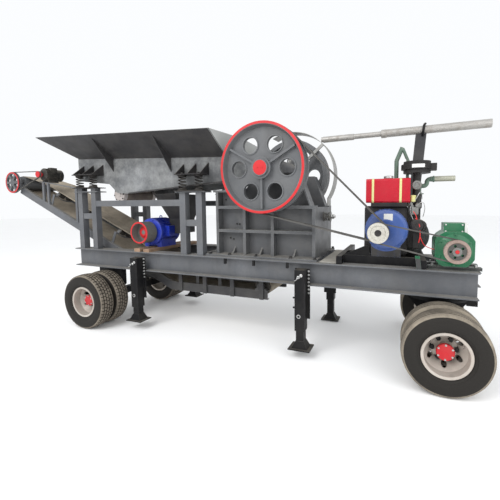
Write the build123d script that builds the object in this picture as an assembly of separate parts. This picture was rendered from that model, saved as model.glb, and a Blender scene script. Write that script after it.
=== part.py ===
from build123d import *
from math import asin, atan2, cos, hypot, pi, radians, sin, sqrt, tan
import os

# Wheeled jaw crushing plant, in millimetres. X runs along the chassis towards the engine end,
# Y across it away from the V-belt side (the near side is -Y), Z up from the ground.
# Places along X are written from the middle of the main rails and shifted once, on export,
# so that the origin is at the bottom centre of the whole plant.

# General fits
REST_GAP = 0.3
RUN_FIT = 0.05
BODY_GAP = 8.0

# Main rails: wide-flange beams on edge
RAIL_LENGTH = 6018.0
RAIL_HEIGHT = 294.0
RAIL_WIDTH = 200.0
RAIL_WEB = 10.0
RAIL_FLANGE = 14.0
RAIL_TOP = 1180.0
RAIL_CENTRE_Y = 504.0

# Cross members between the rails
CROSS_HEIGHT = 160.0
CROSS_WIDTH = 70.0
CROSS_SHEET = 10.0
CROSS_PLACES = (-2960.0, -640.0, 1330.0, 2140.0, 2970.0)

# Road wheels: twin tyres on dished disc wheels
TYRE_RADIUS = 422.0
TYRE_WIDTH = 228.0
TYRE_SHOULDER = 46.0
BEAD_RADIUS = 205.0
RIM_WIDTH = 176.0
RIM_FLANGE_RADIUS = 232.0
RIM_SHEET = 9.0
TWIN_SPACING = 272.0
TRACK_OUTER_FACE = 1024.0
HAND_HOLE_RADIUS = 27.0
HAND_HOLE_CIRCLE = 158.0
STUD_CIRCLE = 100.0
HUB_SEAT_RADIUS = 58.0
HUB_LENGTH = 190.0
HUB_CAP_RADIUS = 64.0
HUB_CAP_DEPTH = 34.0
STUB_RADIUS = 40.0
WHEEL_HOLES = 6
REAR_AXLE_X = -2329.0
FRONT_AXLE_X = 2669.0
AXLE_SIDE = 110.0

# Rear axle brackets and front turntable
HANGER_LENGTH = 500.0
HANGER_WIDTH = 90.0
HANGER_TYRE_GAP = 18.0
TURNTABLE_RADIUS = 370.0
TURNTABLE_RING = 70.0
TURNTABLE_DEPTH = 46.0
BOLSTER_WIDTH = 150.0
BOLSTER_DEPTH = 34.0
SADDLE_LENGTH = 300.0
KINGPIN_RADIUS = 35.0

# Landing legs
LEG_OUTER = 126.0
LEG_WALL = 8.0
LEG_INNER_GAP = 5.0
LEG_COLLAR = 45.0
LEG_TOP = 1105.0
LEG_BOTTOM = 345.0
LEG_PLATE_WIDTH = 196.0
LEG_PLATE_THICK = 14.0
LEG_PLATE_BOTTOM = 470.0
FOOT_LENGTH = 280.0
FOOT_WIDTH = 220.0
FOOT_THICK = 14.0
FOOT_BELL = 90.0
LEG_OVERLAP = 430.0
# name, place along X, side, height of the foot over the ground
LEGS = (
    ("near_front", 1085.0, -1, 112.0),
    ("near_rear", -1560.0, -1, 135.0),
    ("far_front", 1170.0, 1, 12.0),
    ("far_rear", -1560.0, 1, 135.0),
)

# Crusher frame
CRUSH_FRONT_X = -253.0
CRUSH_BACK_X = 1210.0
CRUSH_TOP_FRONT = 2110.0
CRUSH_LEDGE = 1869.0
CRUSH_MID_RIB = 1538.0
CRUSH_SHOULDER = 2235.0
CRUSH_BASE_THICK = 30.0
CRUSH_BASE_X0 = -380.0
CRUSH_BASE_X1 = 1250.0
CRUSH_BASE_HALF = 504.0
CHAMBER_HALF = 300.0
SIDE_PLATE = 44.0
SIDE_RIB_REACH = 130.0
SIDE_RIB = 38.0
RIB_PLACES = (-234.0, 198.0, 618.0, 1191.0)
END_WALL = 60.0
SLOPE_LOW_X = 1160.0
SLOPE_TOP_X = 985.0
SLOPE_TOP_Z = 2330.0
SLOPE_FLANGE = 20.0
CHEEK_FRONT_X = 150.0
CHEEK_BACK_X = 260.0
BASE_OVERHANG = 60.0
MOUTH_LIP = 42.0
LIP_THICK = 28.0
HEEL_REACH = 95.0
HEEL_HEIGHT = 90.0
HEEL_THICK = 20.0
TOGGLE_SEAT_X = 800.0
TOGGLE_SEAT_LOW = 1400.0
TOGGLE_SEAT_HIGH = 1600.0
TOGGLE_HALF = 260.0
TOGGLE_THICK = 52.0

# Eccentric shaft, bearings and flywheels
SHAFT_X = 561.0
SHAFT_Z = 2365.0
SHAFT_RADIUS = 80.0
BEARING_RADIUS = 185.0
BEARING_BLOCK = 400.0
BEARING_SEAT = 165.0
BEARING_FOOT = 50.0
BEARING_DEPTH = 150.0
BEARING_COVER = 130.0
BEARING_COVER_DEPTH = 16.0
FLYWHEEL_RADIUS = 574.0
FLYWHEEL_WIDTH = 220.0
FLYWHEEL_RIM = 62.0
RIM_BEVEL = 26.0
FLYWHEEL_WEB = 42.0
FLYWHEEL_OUTER_FACE = 704.0
FLYWHEEL_HUB_RADIUS = 135.0
FLYWHEEL_HOLE_RADIUS = 103.0
FLYWHEEL_HOLE_CIRCLE = 338.0
FLYWHEEL_HOLES = 6
FLYWHEEL_RIBS = 3
GROOVE_COUNT = 5
GROOVE_PITCH = 32.0
GROOVE_WIDTH = 24.0
GROOVE_DEPTH = 22.0
FIRST_BELT_Y = -671.0
GROOVE_FLANK = 0.23
SHAFT_CAP_RADIUS = 104.0
SHAFT_CAP_DEPTH = 22.0
HOLE_COLLAR = 13.0
HOLE_COLLAR_PROUD = 12.0
WHEEL_RIB = 24.0
WHEEL_RIB_PROUD = 46.0
HUB_SETBACK = 0.3
WEB_SETBACK = 20.0

# Flywheel guard on the far side
GUARD_RADIUS = 696.0
GUARD_SHEET = 8.0
GUARD_FROM = -32.0
GUARD_TO = 118.0
GUARD_STAYS = (42.0, 96.0)

# Jaws
GAPE = 400.0
DISCHARGE = 70.0
JAW_PLATE = 62.0
JAW_BOTTOM = 1290.0
JAW_TOP = 2080.0
JAW_TOOTH = 16.0
JAW_TEETH = 8
JAW_SIDE_GAP = 6.0
JAW_STEP = 40.0
JAW_SHELF = 60.0
PITMAN_BARREL = 175.0
PITMAN_DEPTH = 150.0
PITMAN_HEEL = 70.0
ROD_Z = 1735.0
ROD_RADIUS = 17.0
ROD_REACH = 165.0
ROD_SPRING = 92.0
ROD_SPRING_RADIUS = 72.0
ROD_WIRE = 16.0
ROD_TURNS = 4
ROD_WASHER = 10.0
ROD_NUT = 22.0

# Feeder stand
POST_SIDE = 100.0
POST_OUTER_Y = 584.0
REAR_BENT = (-2854.0, -2544.0)
FRONT_BENT = (-749.0, -464.0)
REAR_POST_TOP = 2125.0
FRONT_POST_TOP = 2085.0
RUNG_HEIGHT = 90.0
REAR_RUNG = 1684.0
FRONT_RUNG = 1600.0
STAND_BEAM_BOTTOM = 1890.0
STAND_BEAM_HEIGHT = 93.0
CAP_PLATE = 14.0
CAP_REACH = 60.0

# Vibrating feeder and hopper
TROUGH_HALF = 430.0
TROUGH_SHEET = 10.0
TROUGH_BACK_X = -3060.0
TROUGH_FRONT_X = -153.0
TROUGH_TOP_BACK = 2725.0
TROUGH_SLOPE = 0.0445
FLARE_OUT = 414.0
FLARE_BACK = 390.0
FLARE_TOP_BACK = 3030.0
FLARE_SHEET = 8.0
END_WALL_GABLE = 45.0
GUSSET_PLACES = (-2240.0, -1060.0)
GUSSET_DROP = 230.0
GUSSET_SETBACK = 40.0
GUSSET_SHEET = 10.0
FLOOR_BACK_Z = 2385.0
FLOOR_FRONT_Z = 2250.0
FLOOR_SHEET = 12.0
SPRING_RADIUS = 46.0
SPRING_WIRE = 13.0
SPRING_TURNS = 4
REAR_SPRING = 125.0
FRONT_SPRING = 165.0
EXCITER_X = -2230.0
EXCITER_Z = 2085.0
EXCITER_RADIUS = 112.0
EXCITER_HALF = 340.0

# Conveyor
CONV_HALF = 380.0
CONV_CHANNEL = 126.0
CONV_LEG = 53.0
CONV_SHEET = 7.0
CONV_FLAT_BOTTOM = 570.0
CONV_BEND_X = -1172.0
CONV_SLOPE = 23.66
CONV_TAIL_X = 500.0
HANGER_PLACES = (-1010.0, -560.0, -90.0, 380.0, -2010.0)
CONV_HEAD_X = -4859.0
CONV_HEAD_Z = 2360.0
DRUM_RADIUS = 130.0
TAIL_DRUM_RADIUS = 115.0
DRUM_LENGTH = 620.0
BELT_WIDTH = 560.0
BELT_THICK = 9.0
BELT_FLOOR_HALF = 110.0
BELT_RISE = 105.0
LOW_RISE = 48.0
LOW_RISE_END = 703.0
HIGH_RISE_START = 1114.0
BELT_RUN_IN = 620.0
TAIL_LIFT = 34.0
HANGER_BAR = 60.0
TIE_WIDTH = 50.0
TIE_THICK = 12.0
HOOP_THICK = 12.0
HOOP_WIDTH = 50.0
HOOP_HALF = 345.0
HOOP_CLEARANCE = 30.0
HOOP_SAG = 25.0
HOOP_SAG_PER_RISE = 1.14
SHEAVE_SPOKES = 6
SHEAVE_RIM = 34.0
SHEAVE_HUB = 52.0
PLATFORM_LEFT_X = -4210.0
PLATFORM_RIGHT_X = -3195.0
PLATFORM_SLOPE = 0.158
PLATFORM_SHEET = 12.0
PLATFORM_LEGS = (-4120.0, -3990.0, -3240.0)
PLATFORM_LEG = 50.0
PLATFORM_LEG_DEPTH = 30.0
PLATFORM_INNER = 300.0
MOTOR_FOOT = 26.0
MOTOR_FOOT_HALF = 92.0
MOTOR_STANDOFF = 60.0
TAIL_SETBACK = 110.0
BEARING_SHOE = 85.0
SHOE_THICK = 20.0
TIE_PLACES = (500.0, 1500.0, 2500.0, 3400.0)
FLAT_TIE_PLACES = (-900.0, 60.0)
WING_START = 34.0
WING_ROLLER = 122.0
LUG_HALF = 30.0
LUG_TOP = 26.0
LUG_FOOT = 104.0
SHAFT_END_RADIUS = 28.0
HEAD_SHEAVE_RADIUS = 200.0
HEAD_SHEAVE_Y = -454.0
HEAD_SHEAVE_WIDTH = 44.0
CONV_MOTOR_X = -4097.0
CONV_MOTOR_Z = 2490.0
CONV_MOTOR_RADIUS = 108.0
CONV_MOTOR_LENGTH = 330.0
CONV_MOTOR_PULLEY_RADIUS = 56.0
MOTOR_SHAFT_RADIUS = 24.0
V_BELT_PROUD = 3.0
V_BELT_HEIGHT = 14.0
BEARING_BOSS = 58.0
ROLLER_RADIUS = 38.0
IDLER_PLACES = (620.0, 1450.0, 2280.0, 3100.0)
FLAT_IDLER_PLACES = (-700.0, -300.0)

# Engine set
SKID_HEIGHT = 100.0
SKID_X0 = 1500.0
SKID_X1 = 2500.0
SKID_BAR = 66.0
SKID_INSET = 20.0
SKID_LINES = (-420.0, -50.0)
STRUT_TOP = 1400.0
ENGINE_PULLEY_X = 1988.0
ENGINE_PULLEY_Z = 1577.0
ENGINE_PULLEY_RADIUS = 116.0
PULLEY_RIM = 14.0
PULLEY_DISH = 10.0
CRANK_RADIUS = 38.0
CRANK_RECESS = 34.0
GEARCASE_RADIUS = 236.0
GEARCASE_X = 2062.0
GEARCASE_Z = 1594.0
GEAR_LIP = 14.0
ENGINE_NEAR_Y = -330.0
ENGINE_FAR_Y = -20.0
CASE_X0 = 1800.0
CASE_X1 = 2300.0
CASE_TOP = 1880.0
HEAD_X0 = 2440.0
HEAD_X1 = 2496.0
COVER_Z = 1649.0
COVER_RADIUS = 78.0
ROCKER_TOP = 2020.0
TANK_X0 = 1822.0
TANK_X1 = 2320.0
TANK_NEAR_Y = -400.0
TANK_DEPTH = 220.0
TANK_Z0 = 1918.0
TANK_Z1 = 2205.0
TANK_CORNER = 30.0
FILLER_X = 2075.0
FILLER_RADIUS = 45.0
CLEANER_X = 2390.0
CLEANER_Y = -250.0
CLEANER_Z0 = 2262.0
CLEANER_RADIUS = 172.0
CLEANER_LIP = 22.0
CLEANER_HEIGHT = 136.0
NECK_RADIUS = 42.0
EXHAUST_Y = -140.0
EXHAUST_LOW_Z = 2120.0
EXHAUST_Z = 2200.0
EXHAUST_PORT_X = 2425.0
EXHAUST_BEND_X = 2510.0
EXHAUST_TIP_X = 2810.0
ELBOW_RADIUS = 26.0
ELBOW_BEND = 38.0
SILENCER_RADIUS = 31.0
MANIFOLD_RADIUS = 50.0
MANIFOLD_HALF = 110.0
ARCH_LEFT_X = 2160.0
ARCH_RIGHT_X = 2290.0
ARCH_TOP_X = 2224.0
ARCH_TOP_Z = 2600.0
ARCH_SPRING_Z = 2440.0
ARCH_Y = -110.0
ARCH_RADIUS = 26.0
ARCH_BEND = 40.0
FAN_X = 2330.0
FAN_Z = 1500.0
FAN_RADIUS = 240.0
FAN_Y = 30.0
FAN_DEPTH = 80.0
GENERATOR_X = 2774.0
GENERATOR_Z = 1405.0
GENERATOR_Y = -560.0
GENERATOR_LENGTH = 430.0
GENERATOR_RADIUS = 192.0
GENERATOR_PULLEY_RADIUS = 124.0
GEN_RAIL = 34.0
GEN_BOX_TOP = 1690.0
GEN_DISH = 4.0
GEN_HOLES = 5
GEN_HOLE_CIRCLE = 62.0
GEN_HOLE_RADIUS = 13.0
TENSION_X = 2424.0
TENSION_TOP = 1330.0

# Electric motor on sleepers
MOTOR_X = -1570.0
MOTOR_Z = 1479.0
MOTOR_RADIUS = 215.0
MOTOR_PULLEY_RADIUS = 168.0
MOTOR_PULLEY_WIDTH = 200.0
MAIN_MOTOR_SHAFT = 34.0
MOTOR_PULLEY_RIM = 22.0
PULLEY_STANDOFF = 20.0
MOTOR_LENGTH = 480.0
SLEEPER_THICK = 50.0
SLEEPER_WIDTH = 110.0
SLEEPER_PLACES = (-1630.0, -1450.0)

# Overhead pole and its post
POLE_Y = 560.0
POLE_LEFT_X = 1030.0
POLE_RIGHT_X = 3317.0
POLE_RISE = 40.0
POLE_THICK_RADIUS = 56.0
POLE_THIN_RADIUS = 38.0
POST_BASE_X = 2330.0
POST_LEAN = 4.6
POST_WIDTH = 140.0
POST_DEPTH = 60.0

RAIL_BOTTOM = RAIL_TOP - RAIL_HEIGHT
RAIL_INNER_Y = RAIL_CENTRE_Y - RAIL_WIDTH / 2
RAIL_OUTER_Y = RAIL_CENTRE_Y + RAIL_WIDTH / 2
PLANT_LEFT = CONV_HEAD_X - HEAD_SHEAVE_RADIUS
X_MID = (PLANT_LEFT + POLE_RIGHT_X) / 2

BELT_PLANES = [FIRST_BELT_Y + index * GROOVE_PITCH for index in range(GROOVE_COUNT)]

os.makedirs("parts", exist_ok=True)


def save(name, *solids):
    """Write the solids of one piece, shifted to the plant's own origin."""
    shift = Location((-X_MID, 0, 0))
    flat = [solid.moved(shift) for item in solids for solid in item.solids()]
    shape = flat[0] if len(flat) == 1 else Compound(flat)
    export_step(shape, "parts/" + name + ".step")


def block(x0, x1, y0, y1, z0, z1):
    """A squared bar or plate between two corners."""
    return Pos((x0 + x1) / 2, (y0 + y1) / 2, (z0 + z1) / 2) * Box(abs(x1 - x0), abs(y1 - y0), abs(z1 - z0))


def side_profile(points, y0, y1):
    """Extrude an outline drawn in the XZ plane from y0 to y1."""
    face = Face(Wire.make_polygon([(x, y0, z) for x, z in points], close=True))
    return extrude(face, amount=y1 - y0, dir=(0, 1, 0))


def end_profile(points, x0, x1):
    """Extrude an outline drawn in the YZ plane from x0 to x1."""
    face = Face(Wire.make_polygon([(x0, y, z) for y, z in points], close=True))
    return extrude(face, amount=x1 - x0, dir=(1, 0, 0))


def plan_profile(points, z0, z1):
    """Extrude an outline drawn in the XY plane from z0 to z1."""
    face = Face(Wire.make_polygon([(x, y, z0) for x, y in points], close=True))
    return extrude(face, amount=z1 - z0, dir=(0, 0, 1))


def barrel(x, z, radius, y0, y1):
    """A round bar along Y."""
    return extrude(Plane(origin=(x, y0, z), x_dir=(1, 0, 0), z_dir=(0, 1, 0)) * Circle(radius), amount=y1 - y0)


def turned(x, z, outline):
    """Revolve an outline of (radius, y) points about the Y axis through (x, z)."""
    face = Face(Wire.make_polygon([(r, y, 0) for r, y in outline], close=True))
    return Pos(x, 0, z) * revolve(face, axis=Axis.Y)


def mirrored(solid):
    """The same piece on the other side of the plant."""
    return mirror(solid, about=Plane.XZ)


def panel(corners, thickness, outward):
    """A flat sheet on the given corners, thickened towards the outward direction."""
    face = Face(Wire.make_polygon(corners, close=True))
    normal = face.normal_at()
    if normal.dot(Vector(*outward)) < 0:
        normal = -normal
    return extrude(face, amount=thickness, dir=normal)


def rim_point(x, z, radius, angle, y):
    """A point on a pulley's rim in the plane at y."""
    return Vector(x + radius * cos(angle), y, z + radius * sin(angle))


def v_belt(x0, z0, r0, x1, z1, r1, y):
    """A taut V-belt seated in the grooves of two pulleys at y, as one closed loop."""
    heading = atan2(z1 - z0, x1 - x0)
    lean = asin((r0 - r1) / hypot(x1 - x0, z1 - z0))
    up = heading + pi / 2 - lean
    down = heading - pi / 2 + lean
    start = rim_point(x0, z0, r0, up, y)
    turn_in = rim_point(x1, z1, r1, up, y)
    turn_out = rim_point(x1, z1, r1, down, y)
    back = rim_point(x0, z0, r0, down, y)
    path = Wire([
        Edge.make_line(start, turn_in),
        Edge.make_three_point_arc(turn_in, rim_point(x1, z1, r1, heading, y), turn_out),
        Edge.make_line(turn_out, back),
        Edge.make_three_point_arc(back, rim_point(x0, z0, r0, heading + pi, y), start),
    ])
    section = Plane(origin=start, x_dir=(0, 1, 0), z_dir=turn_in - start)
    outward = section.y_dir.dot(start - Vector(x0, y, z0))
    way = 1 if outward > 0 else -1
    wide = GROOVE_WIDTH / 2 + GROOVE_FLANK * V_BELT_PROUD - REST_GAP
    narrow = wide - GROOVE_FLANK * V_BELT_HEIGHT
    low = way * (V_BELT_PROUD - V_BELT_HEIGHT)
    high = way * V_BELT_PROUD
    outline = section * Polygon((-wide, high), (wide, high), (narrow, low), (-narrow, low), align=None)
    return sweep(outline, path=path)


# Chassis rails
def main_rail():
    half_l = RAIL_LENGTH / 2
    web = RAIL_WEB / 2
    inner = RAIL_WIDTH / 2
    outline = [
        (-inner, RAIL_BOTTOM), (inner, RAIL_BOTTOM), (inner, RAIL_BOTTOM + RAIL_FLANGE),
        (web, RAIL_BOTTOM + RAIL_FLANGE), (web, RAIL_TOP - RAIL_FLANGE), (inner, RAIL_TOP - RAIL_FLANGE),
        (inner, RAIL_TOP), (-inner, RAIL_TOP), (-inner, RAIL_TOP - RAIL_FLANGE),
        (-web, RAIL_TOP - RAIL_FLANGE), (-web, RAIL_BOTTOM + RAIL_FLANGE), (-inner, RAIL_BOTTOM + RAIL_FLANGE),
    ]
    return Pos(0, -RAIL_CENTRE_Y, 0) * end_profile(outline, -half_l, half_l)


near_rail = main_rail()
save("main_rails", near_rail, mirrored(near_rail))


# Cross members: channels welded between the webs, just under the top flanges
def cross_member(x):
    top = RAIL_TOP - RAIL_FLANGE
    reach = RAIL_CENTRE_Y - RAIL_WEB / 2
    outer = block(x, x + CROSS_WIDTH, -reach, reach, top - CROSS_HEIGHT, top)
    inner = block(
        x + CROSS_SHEET, x + CROSS_WIDTH + 1, -reach - 1, reach + 1,
        top - CROSS_HEIGHT + CROSS_SHEET, top - CROSS_SHEET,
    )
    return outer - inner


save("cross_members", *[cross_member(x) for x in CROSS_PLACES])

# Road wheels
OUTER_TYRE_Y = TRACK_OUTER_FACE - TYRE_WIDTH / 2
INNER_TYRE_Y = OUTER_TYRE_Y - TWIN_SPACING
DISC_Y = (OUTER_TYRE_Y + INNER_TYRE_Y) / 2
HUB_OUTER_Y = DISC_Y + HUB_LENGTH * 0.55
HUB_INNER_Y = HUB_OUTER_Y - HUB_LENGTH


def tyre(x, y):
    half = TYRE_WIDTH / 2
    bead = BEAD_RADIUS + RIM_SHEET + REST_GAP
    outline = [
        (bead, y - RIM_WIDTH / 2 + RIM_SHEET), (RIM_FLANGE_RADIUS + 4, y - RIM_WIDTH / 2 + RIM_SHEET),
        (RIM_FLANGE_RADIUS + 40, y - half * 0.93), (TYRE_RADIUS - 2.0 * TYRE_SHOULDER, y - half),
        (TYRE_RADIUS - TYRE_SHOULDER, y - half * 0.94), (TYRE_RADIUS - 12, y - half * 0.78),
        (TYRE_RADIUS, y - half * 0.45), (TYRE_RADIUS, y + half * 0.45),
        (TYRE_RADIUS - 12, y + half * 0.78), (TYRE_RADIUS - TYRE_SHOULDER, y + half * 0.94),
        (TYRE_RADIUS - 2.0 * TYRE_SHOULDER, y + half), (RIM_FLANGE_RADIUS + 40, y + half * 0.93),
        (RIM_FLANGE_RADIUS + 4, y + RIM_WIDTH / 2 - RIM_SHEET), (bead, y + RIM_WIDTH / 2 - RIM_SHEET),
    ]
    return turned(x, TYRE_RADIUS, outline)


def disc_wheel(x, y, disc_y):
    """A dished wheel: rim at y, disc bolted to the hub at disc_y."""
    half = RIM_WIDTH / 2
    way = 1 if disc_y > y else -1
    sheet = RIM_SHEET
    outline = [
        (RIM_FLANGE_RADIUS, y - half), (RIM_FLANGE_RADIUS, y - half + sheet), (BEAD_RADIUS + sheet, y - half + sheet),
        (BEAD_RADIUS + sheet, y + half - sheet), (RIM_FLANGE_RADIUS, y + half - sheet),
        (RIM_FLANGE_RADIUS, y + half), (BEAD_RADIUS, y + half), (BEAD_RADIUS, y - half),
    ]
    rim = turned(x, TYRE_RADIUS, outline)
    root = y + way * (half - 70)
    disc = turned(x, TYRE_RADIUS, [
        (HUB_SEAT_RADIUS + REST_GAP, disc_y), (HUB_SEAT_RADIUS + REST_GAP, disc_y - way * 12),
        (STUD_CIRCLE + 30, disc_y - way * 12),
        (BEAD_RADIUS, root - way * 6), (BEAD_RADIUS, root + way * 8), (STUD_CIRCLE + 34, disc_y),
    ])
    for index in range(WHEEL_HOLES):
        angle = (index + 0.5) * 2 * pi / WHEEL_HOLES
        hole = barrel(
            x + HAND_HOLE_CIRCLE * cos(angle), TYRE_RADIUS + HAND_HOLE_CIRCLE * sin(angle), HAND_HOLE_RADIUS,
            min(y, disc_y) - 90, max(y, disc_y) + 90,
        )
        disc = disc - hole
    return rim + disc


def wheel_hub(x):
    """The hub between the two discs, with its bore and cap, on the far side."""
    outline = [
        (STUB_RADIUS + RUN_FIT, HUB_INNER_Y), (HUB_SEAT_RADIUS, HUB_INNER_Y),
        (HUB_SEAT_RADIUS, HUB_OUTER_Y), (HUB_CAP_RADIUS, HUB_OUTER_Y),
        (HUB_CAP_RADIUS, HUB_OUTER_Y + HUB_CAP_DEPTH * 0.6), (HUB_CAP_RADIUS - 14, HUB_OUTER_Y + HUB_CAP_DEPTH),
        (0, HUB_OUTER_Y + HUB_CAP_DEPTH), (0, HUB_OUTER_Y - 10), (STUB_RADIUS + RUN_FIT, HUB_OUTER_Y - 10),
    ]
    return turned(x, TYRE_RADIUS, outline)


for axle, axle_x in (("rear", REAR_AXLE_X), ("front", FRONT_AXLE_X)):
    far_tyres = [tyre(axle_x, OUTER_TYRE_Y), tyre(axle_x, INNER_TYRE_Y)]
    far_rims = [
        disc_wheel(axle_x, OUTER_TYRE_Y, DISC_Y + REST_GAP), disc_wheel(axle_x, INNER_TYRE_Y, DISC_Y - REST_GAP),
    ]
    far_hub = wheel_hub(axle_x)
    save("tyres_" + axle + "_far", *far_tyres)
    save("tyres_" + axle + "_near", *[mirrored(item) for item in far_tyres])
    save("wheel_" + axle + "_far", *far_rims, far_hub)
    save("wheel_" + axle + "_near", *[mirrored(item) for item in far_rims], mirrored(far_hub))


# Axles: a square beam with turned stubs
def axle_beam(x):
    beam_end = HUB_INNER_Y - BODY_GAP
    side = AXLE_SIDE / 2
    beam = block(x - side, x + side, -beam_end, beam_end, TYRE_RADIUS - side, TYRE_RADIUS + side)
    stub_end = HUB_OUTER_Y - 20
    return beam + barrel(x, TYRE_RADIUS, STUB_RADIUS, -stub_end, stub_end)


# Rear axle: a welded box hanger under each rail
def axle_hanger(x):
    half = HANGER_LENGTH / 2
    y0 = INNER_TYRE_Y - TYRE_WIDTH / 2 - HANGER_TYRE_GAP - HANGER_WIDTH
    top = RAIL_BOTTOM
    foot = TYRE_RADIUS + AXLE_SIDE / 2
    outline = [(x - half, top), (x + half, top), (x + half, foot + 120), (x + AXLE_SIDE, foot),
               (x - AXLE_SIDE, foot), (x - half, foot + 120)]
    return side_profile(outline, y0, y0 + HANGER_WIDTH)


rear_hanger = axle_hanger(REAR_AXLE_X)
save("rear_axle", axle_beam(REAR_AXLE_X) + rear_hanger + mirrored(rear_hanger))

# Front turntable: bolsters and upper ring under the rails, lower ring and saddle on the axle
RING_TOP = RAIL_BOTTOM - BOLSTER_DEPTH
RING_SPLIT = RING_TOP - TURNTABLE_DEPTH


def flat_ring(x, radius, width, z0, z1):
    ring = extrude(Plane(origin=(x, 0, z0)) * Circle(radius), amount=z1 - z0)
    return ring - extrude(Plane(origin=(x, 0, z0 - 1)) * Circle(radius - width), amount=z1 - z0 + 2)


bolsters = [
    block(FRONT_AXLE_X + sign * 230 - BOLSTER_WIDTH / 2, FRONT_AXLE_X + sign * 230 + BOLSTER_WIDTH / 2,
          -RAIL_OUTER_Y + 80, RAIL_OUTER_Y - 80, RING_TOP, RAIL_BOTTOM)
    for sign in (-1, 1)
]
kingpin = extrude(
    Plane(origin=(FRONT_AXLE_X, 0, RING_SPLIT - 120)) * Circle(KINGPIN_RADIUS), amount=RAIL_BOTTOM - RING_SPLIT + 120
)
pin_plate = block(FRONT_AXLE_X - 160, FRONT_AXLE_X + 160, -150, 150, RING_TOP, RING_TOP + 30)
upper_ring = flat_ring(FRONT_AXLE_X, TURNTABLE_RADIUS, TURNTABLE_RING, RING_SPLIT, RING_TOP)
save("front_turntable", bolsters[0] + bolsters[1] + pin_plate + upper_ring + kingpin)

lower_top = RING_SPLIT - REST_GAP
lower_ring = flat_ring(FRONT_AXLE_X, TURNTABLE_RADIUS, TURNTABLE_RING, lower_top - TURNTABLE_DEPTH, lower_top)
pin_bore = extrude(
    Plane(origin=(FRONT_AXLE_X, 0, 0)) * Circle(KINGPIN_RADIUS + RUN_FIT), amount=RAIL_TOP
)
saddle_base = lower_top - TURNTABLE_DEPTH
saddle = side_profile(
    [(FRONT_AXLE_X - TURNTABLE_RADIUS + 20, saddle_base), (FRONT_AXLE_X + TURNTABLE_RADIUS - 20, saddle_base),
     (FRONT_AXLE_X + AXLE_SIDE, TYRE_RADIUS + AXLE_SIDE / 2), (FRONT_AXLE_X - AXLE_SIDE, TYRE_RADIUS + AXLE_SIDE / 2)],
    -SADDLE_LENGTH / 2, SADDLE_LENGTH / 2,
)
tow_lug = block(FRONT_AXLE_X + TURNTABLE_RADIUS - 60, FRONT_AXLE_X + TURNTABLE_RADIUS + 56, -SADDLE_LENGTH / 2,
                -SADDLE_LENGTH / 2 + 30, saddle_base - 70, saddle_base + 10)
front_axle = axle_beam(FRONT_AXLE_X) + ((saddle + lower_ring) - pin_bore)
save("front_axle_frame", front_axle + tow_lug)


# Landing legs
def leg_housing(x):
    """The fixed box of a landing leg and its bolting plate, outside the near rail."""
    back = -RAIL_OUTER_Y
    plate = block(x - LEG_PLATE_WIDTH / 2, x + LEG_PLATE_WIDTH / 2, back - LEG_PLATE_THICK, back,
                  LEG_PLATE_BOTTOM, LEG_TOP)
    y1 = back - LEG_PLATE_THICK
    y0 = y1 - LEG_OUTER
    tube = block(x - LEG_OUTER / 2, x + LEG_OUTER / 2, y0, y1, LEG_BOTTOM, LEG_TOP)
    inset = LEG_WALL
    bore = block(x - LEG_OUTER / 2 + inset, x + LEG_OUTER / 2 - inset, y0 + inset, y1 - inset,
                 LEG_BOTTOM + LEG_COLLAR, LEG_TOP - LEG_WALL)
    inset = LEG_WALL + LEG_INNER_GAP - RUN_FIT
    mouth = block(x - LEG_OUTER / 2 + inset, x + LEG_OUTER / 2 - inset, y0 + inset, y1 - inset,
                  LEG_BOTTOM - 1, LEG_BOTTOM + LEG_COLLAR + 1)
    return plate + (tube - bore - mouth)


def inner_leg(x, foot_height):
    """The sliding leg with its flared foot, for the near side."""
    y1 = -RAIL_OUTER_Y - LEG_PLATE_THICK - LEG_WALL - LEG_INNER_GAP
    y0 = y1 - LEG_OUTER + 2 * (LEG_WALL + LEG_INNER_GAP)
    half = LEG_OUTER / 2 - LEG_WALL - LEG_INNER_GAP
    mid = (y0 + y1) / 2
    bar = block(x - half, x + half, y0, y1, foot_height + FOOT_THICK, LEG_BOTTOM + LEG_OVERLAP)
    bell = loft([
        Plane(origin=(x, mid, foot_height + FOOT_THICK)) * Rectangle(FOOT_LENGTH * 0.72, FOOT_WIDTH * 0.72),
        Plane(origin=(x, mid, foot_height + FOOT_THICK + FOOT_BELL)) * Rectangle(2 * half + 8, y1 - y0 + 8),
    ])
    foot = block(x - FOOT_LENGTH / 2, x + FOOT_LENGTH / 2, mid - FOOT_WIDTH / 2, mid + FOOT_WIDTH / 2,
                 foot_height, foot_height + FOOT_THICK)
    return bar + bell + foot


housings = []
for leg_name, leg_x, leg_side, foot_height in LEGS:
    housing = leg_housing(leg_x)
    slider = inner_leg(leg_x, foot_height)
    housings.append(housing if leg_side < 0 else mirrored(housing))
    save("leg_" + leg_name, slider if leg_side < 0 else mirrored(slider))
save("leg_housings", *housings)

# Crusher frame: two ribbed side plates
BASE_TOP = RAIL_TOP + CRUSH_BASE_THICK


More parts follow.
